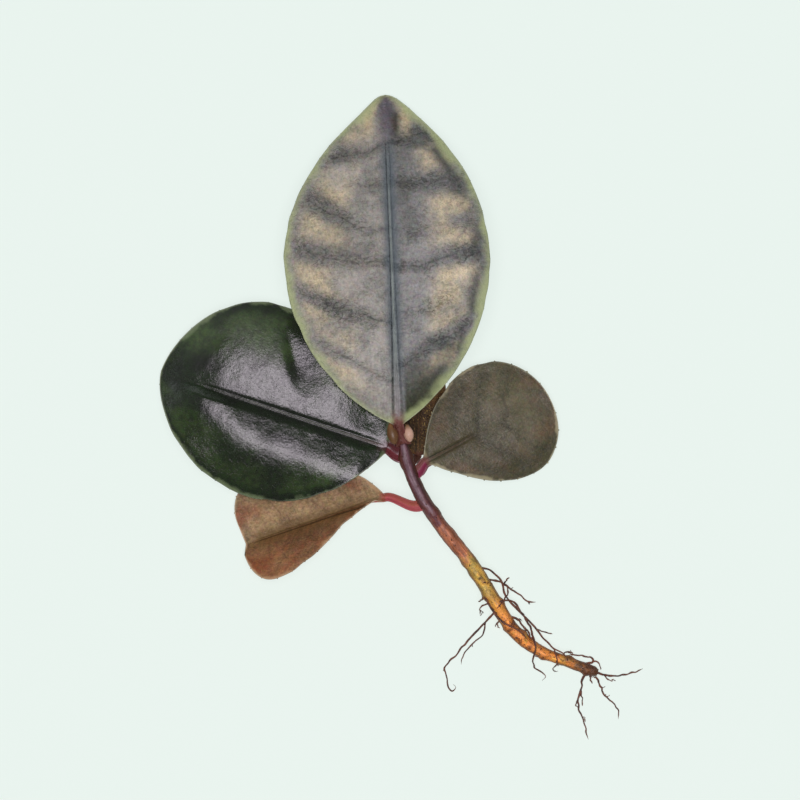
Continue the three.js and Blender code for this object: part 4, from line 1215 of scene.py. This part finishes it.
    left_slope, right_slope = (np.gradient(half[:, k], y[:, 0])[:, None] for k in (0, -1))
    steep = np.where(top < 0, left_slope, right_slope)
    margin = (half - np.abs(x_top)) / np.sqrt(1 + steep**2)
    middle = step(gap, 0.8, 3.4) * step(across, 0.3, 0.6) * (1 - step(across, 0.84, 0.96))
    y_top = y + 0 * x_top
    ragged = step(noise(x_top, y_top, 4.5, 41, 3), -0.8, 0.3)
    shaky_x = x_top + noise(x_top, y_top, 2.6, 51, 3) * 1.6
    shaky_y = y_top + noise(x_top, y_top, 2.6, 52, 3) * 1.6
    # tone: painted shade where a dab is below 0 and painted highlight where it is above, with some of the
    # leaf's own tone
    tone = np.zeros_like(x_top)
    for dab_x, dab_y, wide_x, wide_y, amount in leaf["shade_and_light_dabs"]:
        tone += amount * np.exp(-(((shaky_x - dab_x) / wide_x) ** 2) - ((shaky_y - dab_y) / wide_y) ** 2)
    rim_under = np.tile(np.linspace(0, 0.6, RIM_POINTS), (len(y), 1))
    marks = {
        "share": np.broadcast_to(rows, x_all.shape),
        "rib": x_all,
        "edge": whole(margin, 5.0),
        "vein": whole(near * step(on_blade, 0.02, 0.1)),
        "from_vein": whole(signed, 9.0),
        "patch": whole(middle * ragged * step(on_blade, 0.06, 0.2)),
        "ribbed": whole(ribbed),
        "tone": whole(np.clip(tone, -1, 1)),
        "under": np.hstack([np.zeros_like(x_top), rim_under, np.ones_like(x_low), rim_under[:, ::-1]]),
        "spot": np.dstack([x_all, y + past, z_all]),
    }
    grid = np.arange(x_all.size).reshape(x_all.shape)
    ring = np.roll(grid, -1, 1)
    faces = np.stack([grid[:-1], grid[1:], ring[1:], ring[:-1]], -1).reshape(-1, 4).tolist()
    faces += [grid[0].tolist(), grid[-1][::-1].tolist()]
    made = mesh_object(name + "_fine", place(points.reshape(-1, 3), stem), faces, material, marks)
    margin_columns = (top.size + RIM_POINTS // 2, x_all.shape[1] - 1 - RIM_POINTS // 2)
    margins = [place(points[PETIOLE_ROWS + 20 : -6, k], stem) for k in margin_columns]
    return outward(made), margins


# ---- Operators ----


def settings():
    return bpy.context.scene.ardisia


def the_stem():
    return Stem(settings().stem)


def add_leaf(name):
    """One leaf and the nodules on its margin."""
    sizes = getattr(settings(), name)
    piece, margins = leaf_mesh(name, sizes, the_stem(), leaf_finish(name, sizes))
    settle(piece, [name])
    wire = line_object(name + "_margin", margins, {})
    cork = speck_finish(name + " nodules", sizes.shade, sizes.rim)
    beads = grow(
        wire, beads_tree, name + "_nodules", spacing=0.0029, size=LEAF_LOOKS[name]["nodule"] * MM,
        seed=len(name), material=cork,
    )
    bpy.data.objects.remove(wire)
    settle(beads, [])


def leaf_operator(name, label, purpose):
    """The operator of one leaf."""

    def execute(self, context):
        add_leaf(name)
        return {"FINISHED"}

    return type("ARDISIA_OT_" + name, (bpy.types.Operator,), {
        "__doc__": purpose, "bl_idname": "ardisia." + name, "bl_label": label, "execute": execute,
    })


LEAF_OPERATORS = (
    leaf_operator("leaf_tall", "Tall leaf", "Add the tall grey leaf with the pale rim"),
    leaf_operator("leaf_dark", "Dark leaf", "Add the round dark glossy leaf"),
    leaf_operator("leaf_right", "Right leaf", "Add the brown leaf on the right"),
    leaf_operator("leaf_folded", "Folded leaf", "Add the folded leaf with the notched tip"),
    leaf_operator("leaf_under", "Hidden leaf", "Add the small leaf that is mostly hidden"),
)


def mark_sides(piece, stem):
    """Marks how far each point of the stem lies to its right on the page, from -1 to 1."""
    line, ahead = stem.line[::4], stem.ahead[::4]
    plan = mesh_points(piece.data)[:, :2] / MM - stem.shift
    near = np.linalg.norm(plan[:, None] - line[None, :, :2], axis=2).argmin(1)
    off = plan - line[near, :2]
    radius = stem.radius(np.linspace(0, 1, len(line)))[near]
    mark(piece.data, {"side": (ahead[near, 0] * off[:, 1] - ahead[near, 1] * off[:, 0]) / radius})


class ARDISIA_OT_stem(bpy.types.Operator):
    """Add the woody stem with its knobs and corky specks"""

    bl_idname = "ardisia.stem"
    bl_label = "Stem"

    def execute(self, context):
        sizes, stem = settings().stem, the_stem()
        share = np.linspace(0, 1, len(stem.line))
        run = share * KNOB_RUN
        radius = stem.radius(share) + noise(share * 56, share * 0, 2.5, 71, 2) * 0.07
        radius *= 1 - 0.35 * step(share, 0.985, 1.0)  # worn lower end
        radius += 0.14 * np.exp(-(((run - 2.6) / 1.8) ** 2))  # swelling under the leaves
        radius *= 0.5 + 0.5 * np.sqrt(np.clip(run / 2.4, 0, 1))  # rounded top
        knobs = np.zeros((len(share), 3))
        for at, turn, height, reach in STEM_KNOBS:
            way = np.array([*heading(turn), 0.35])
            bell = np.exp(-(((share - at) * KNOB_RUN / reach) ** 2))
            knobs += bell[:, None] * way / np.linalg.norm(way) * height
        marks = {"radius": [radius * MM], "share": [share], "knob": [knobs * MM]}
        wire = line_object("stem_line", [place(stem.line, stem)], marks)
        piece = grow(
            wire, limb_tree, "stem_fine", sides=48, relief=sizes.bark, grain=900.0, seed=2.0,
            material=bark_finish(sizes),
        )
        outward(piece)
        mark_sides(piece, stem)
        specks = grow(
            piece, specks_tree, "stem_specks", density=160000.0, size=0.00018, seed=5,
            material=speck_finish("corky specks", sizes.end, sizes.crack),
        )
        settle(piece, ["stem"])
        settle(specks, [])
        bpy.data.objects.remove(wire)
        return {"FINISHED"}


def add_bud(node, offset, way, length, half_width, material):
    """A pointed bud with a seam. offset is from the packed solid in millimetres, way in degrees."""
    low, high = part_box(node)
    middle = (low + high) / 2
    rows, around = 40, 40
    t = (1 - np.cos(np.linspace(0, math.pi, rows))) / 2
    turn = np.linspace(0, 2 * math.pi, around, endpoint=False)
    grid_t, grid_turn = np.meshgrid(t, turn, indexing="ij")
    wide = np.sin(math.pi * grid_t**0.85) ** 0.6 * (1 + 0.12 * np.sin(math.pi * grid_t))
    seam = np.exp(-((np.sin(grid_turn - 2.6) / 0.12) ** 2)) * (np.cos(grid_turn - 2.6) > 0)
    wide = wide * (1 - 0.1 * seam)
    ahead = heading(way)
    across = np.cos(grid_turn) * wide * half_width
    along = (grid_t - 0.5) * length
    x = middle.x + offset[0] * MM + ahead[0] * along + ahead[1] * across
    y = middle.y + offset[1] * MM + ahead[1] * along - ahead[0] * across
    z = middle.z + np.sin(grid_turn) * wide * half_width
    grid = np.arange(rows * around).reshape(rows, around)
    ring = np.roll(grid, -1, 1)
    faces = np.stack([grid[:-1], ring[:-1], ring[1:], grid[1:]], -1).reshape(-1, 4).tolist()
    faces += [grid[0][::-1].tolist(), grid[-1].tolist()]
    points = np.dstack([x, y, z]).reshape(-1, 3)
    bud = mesh_object(node + "_fine", points, faces, material, {"seam": seam, "share": grid_t})
    settle(outward(bud), [node])


class ARDISIA_OT_bud(bpy.types.Operator):
    """Add the two buds at the crown"""

    bl_idname = "ardisia.bud"
    bl_label = "Buds"

    def execute(self, context):
        sizes = settings().bud
        size, half = sizes.length, sizes.half_width
        pale = bud_finish("bud scales", sizes.scale, sizes.seam)
        brown = bud_finish("side bud scales", sizes.side_scale, sizes.seam)
        add_bud("bud", (-0.55, 0.2), 100, size, half, pale)
        add_bud("side_bud", (0.28, 0.32), 104, 1.25 * size, 1.1 * half, brown)
        return {"FINISHED"}


def root_lines(name, stem, seed):
    """The lines of a root, its twigs and its rootlets, with radius and share of each point."""
    share, side, thick, over, lift, run, twigs = ROOTS[name]
    around = {"right": 0, "top": 90, "left": 180, "end": 0}[side]
    foot = stem.at(1) if side == "end" else stem.skin(share, around)
    random = np.random.default_rng(seed)

    def high(x, y):
        distance, where, height = stem.nearest(x, y)
        clear = float(stem.radius(where)) + thick
        rest = thick + lift * 0.3
        crest = height + lift + (clear if over else 0)
        away = min(1, distance / (HILL_REACH * clear))
        return rest + max(0, crest - rest) * (1 + math.cos(math.pi * away)) / 2

    def limb(points, radius):
        count = len(points) * 9
        line = spline([(*p, high(*p)) if len(p) == 2 else p for p in points], count)
        along = np.linspace(0, 1, count)
        run = along * count
        wiggle = np.column_stack([noise(run, along * 0 + k * 7, 5.0, seed + k) for k in (0, 1)])
        line[:, :2] += wiggle * 0.13 * step(along, 0, 0.15)[:, None]
        width = radius * 1.12 * (1 - (1 - ROOT_TAPER) * along)
        width *= 1 + 0.22 * noise(run, along, 4.0, seed + 9)
        width *= 1 - 0.75 * step(along, 0.9, 1.0)
        return line, width, along

    def spots(points):
        return [(foot[0] + x, foot[1] + y) for x, y in points]

    lines = [limb([tuple(foot), *spots(run)], thick)]
    main = lines[0][0]
    for twig in twigs:
        first, *rest = spots(twig)
        start = main[np.hypot(main[:, 0] - first[0], main[:, 1] - first[1]).argmin()]
        lines.append(limb([tuple(start), *rest], thick * TWIG_RADIUS))
    for _ in range(settings().roots.rootlets if len(run) > 4 else 2):
        line = lines[random.integers(len(lines))][0]
        at = random.integers(len(line) // 5, len(line) - 2)
        start = line[at]
        way = line[at + 1] - line[at - 1]
        turn = math.atan2(way[1], way[0]) + random.choice((-1, 1)) * random.uniform(0.6, 1.3)
        size = random.uniform(0.3, 0.9)
        tip = (start[0] + math.cos(turn) * size, start[1] + math.sin(turn) * size)
        middle = ((start[0] + tip[0]) / 2 + random.uniform(-0.12, 0.12), (start[1] + tip[1]) / 2)
        lines.append(limb([tuple(start), middle, tip], ROOTLET_RADIUS))
    return lines


class ARDISIA_OT_roots(bpy.types.Operator):
    """Add the roots with their twigs and rootlets"""

    bl_idname = "ardisia.roots"
    bl_label = "Roots"

    def execute(self, context):
        sizes, stem = settings().roots, the_stem()
        skin = root_finish(sizes)
        for seed, name in enumerate(ROOTS):
            lines = root_lines(name, stem, 100 + seed * 20)
            marks = {
                "radius": [width * MM for _, width, _ in lines], "share": [share for _, _, share in lines],
                "knob": [line * 0 for line, _, _ in lines],
            }
            wire = line_object(name + "_line", [place(line, stem) for line, _, _ in lines], marks)
            piece = grow(
                wire, limb_tree, name + "_fine", sides=10, relief=sizes.relief, grain=1600.0,
                seed=float(seed), material=skin,
            )
            bpy.data.objects.remove(wire)
            settle(outward(piece), [name])
        return {"FINISHED"}


class ARDISIA_OT_stage(bpy.types.Operator):
    """Add the pale board, the lights and the camera"""

    bl_idname = "ardisia.stage"
    bl_label = "Board, lights and camera"

    def execute(self, context):
        scene, sizes = context.scene, settings().stage
        low, high = CAD_BOX
        half = sizes.board / 2
        corners = [(-half, -half, 0), (half, -half, 0), (half, half, 0), (-half, half, 0)]
        mesh_object("board", corners, [(0, 1, 2, 3)], paper_finish(sizes), {})

        def softbox(name, at, side, power, tint=(1, 1, 1)):
            lamp = bpy.data.lights.new(name, "AREA")
            lamp.shape, lamp.size, lamp.energy, lamp.color = "SQUARE", side, power, tint
            box = new_object(name, lamp)
            box.location = at
            box.rotation_euler = (-Vector(at)).to_track_quat("-Z", "Y").to_euler()

        softbox("overhead softbox", (-0.02, -0.06, 0.95), sizes.softbox, 7.0, (1.0, 0.965, 1.0))
        softbox("side softbox", (-0.9, 0.35, 0.6), 0.9, 0.35)
        softbox("far softbox", (0.9, 0.4, 0.5), 0.9, 0.35)
        world = bpy.data.worlds.new("dim studio")
        world.use_nodes = True
        world.node_tree.nodes["Background"].inputs[0].default_value = (0.75, 0.8, 0.78, 1)
        world.node_tree.nodes["Background"].inputs[1].default_value = 0.12
        scene.world = world
        scene.view_settings.view_transform = "Standard"
        lens = bpy.data.cameras.new("camera")
        lens.sensor_width = SENSOR
        lens.lens = SENSOR * (sizes.camera_height - high.z / 2) / sizes.view
        lens.clip_start, lens.clip_end = 0.05, 20
        camera = new_object("camera", lens)
        middle = (low + high) / 2
        camera.location = (middle.x - 0.00045, middle.y + 0.00333, sizes.camera_height)
        scene.camera = camera
        return {"FINISHED"}


STEPS = (
    "stem", "bud", "leaf_folded", "leaf_under", "leaf_right", "leaf_dark", "leaf_tall", "roots", "stage",
)


class ARDISIA_PT_panel(bpy.types.Panel):
    """Pieces of the plant"""

    bl_idname = "ARDISIA_PT_panel"
    bl_label = "Ardisia plant"
    bl_space_type = "VIEW_3D"
    bl_region_type = "UI"
    bl_category = "Ardisia"

    def draw(self, context):
        for name in STEPS:
            self.layout.operator("ardisia." + name)
            group = getattr(context.scene.ardisia, name)
            box = self.layout.box()
            for key in group.__annotations__:
                box.prop(group, key)


class ArdisiaSettings(bpy.types.PropertyGroup):
    """Everything that a user would change."""

    stem: PointerProperty(type=StemSizes)
    bud: PointerProperty(type=BudSizes)
    leaf_tall: PointerProperty(type=LeafTall)
    leaf_dark: PointerProperty(type=LeafDark)
    leaf_right: PointerProperty(type=LeafRight)
    leaf_folded: PointerProperty(type=LeafFolded)
    leaf_under: PointerProperty(type=LeafUnder)
    roots: PointerProperty(type=RootSizes)
    stage: PointerProperty(type=StageSizes)


CLASSES = (
    StemSizes, BudSizes, LeafTall, LeafDark, LeafRight, LeafFolded, LeafUnder, RootSizes, StageSizes,
    ArdisiaSettings, ARDISIA_OT_stem, ARDISIA_OT_bud, *LEAF_OPERATORS, ARDISIA_OT_roots,
    ARDISIA_OT_stage, ARDISIA_PT_panel,
)


def register():
    for kind in CLASSES:
        bpy.utils.register_class(kind)
    bpy.types.Scene.ardisia = PointerProperty(type=ArdisiaSettings)


def unregister():
    del bpy.types.Scene.ardisia
    for kind in reversed(CLASSES):
        bpy.utils.unregister_class(kind)


def main():
    register()
    for name in STEPS:
        getattr(bpy.ops.ardisia, name)()
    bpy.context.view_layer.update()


if __name__ == "__main__":
    main()
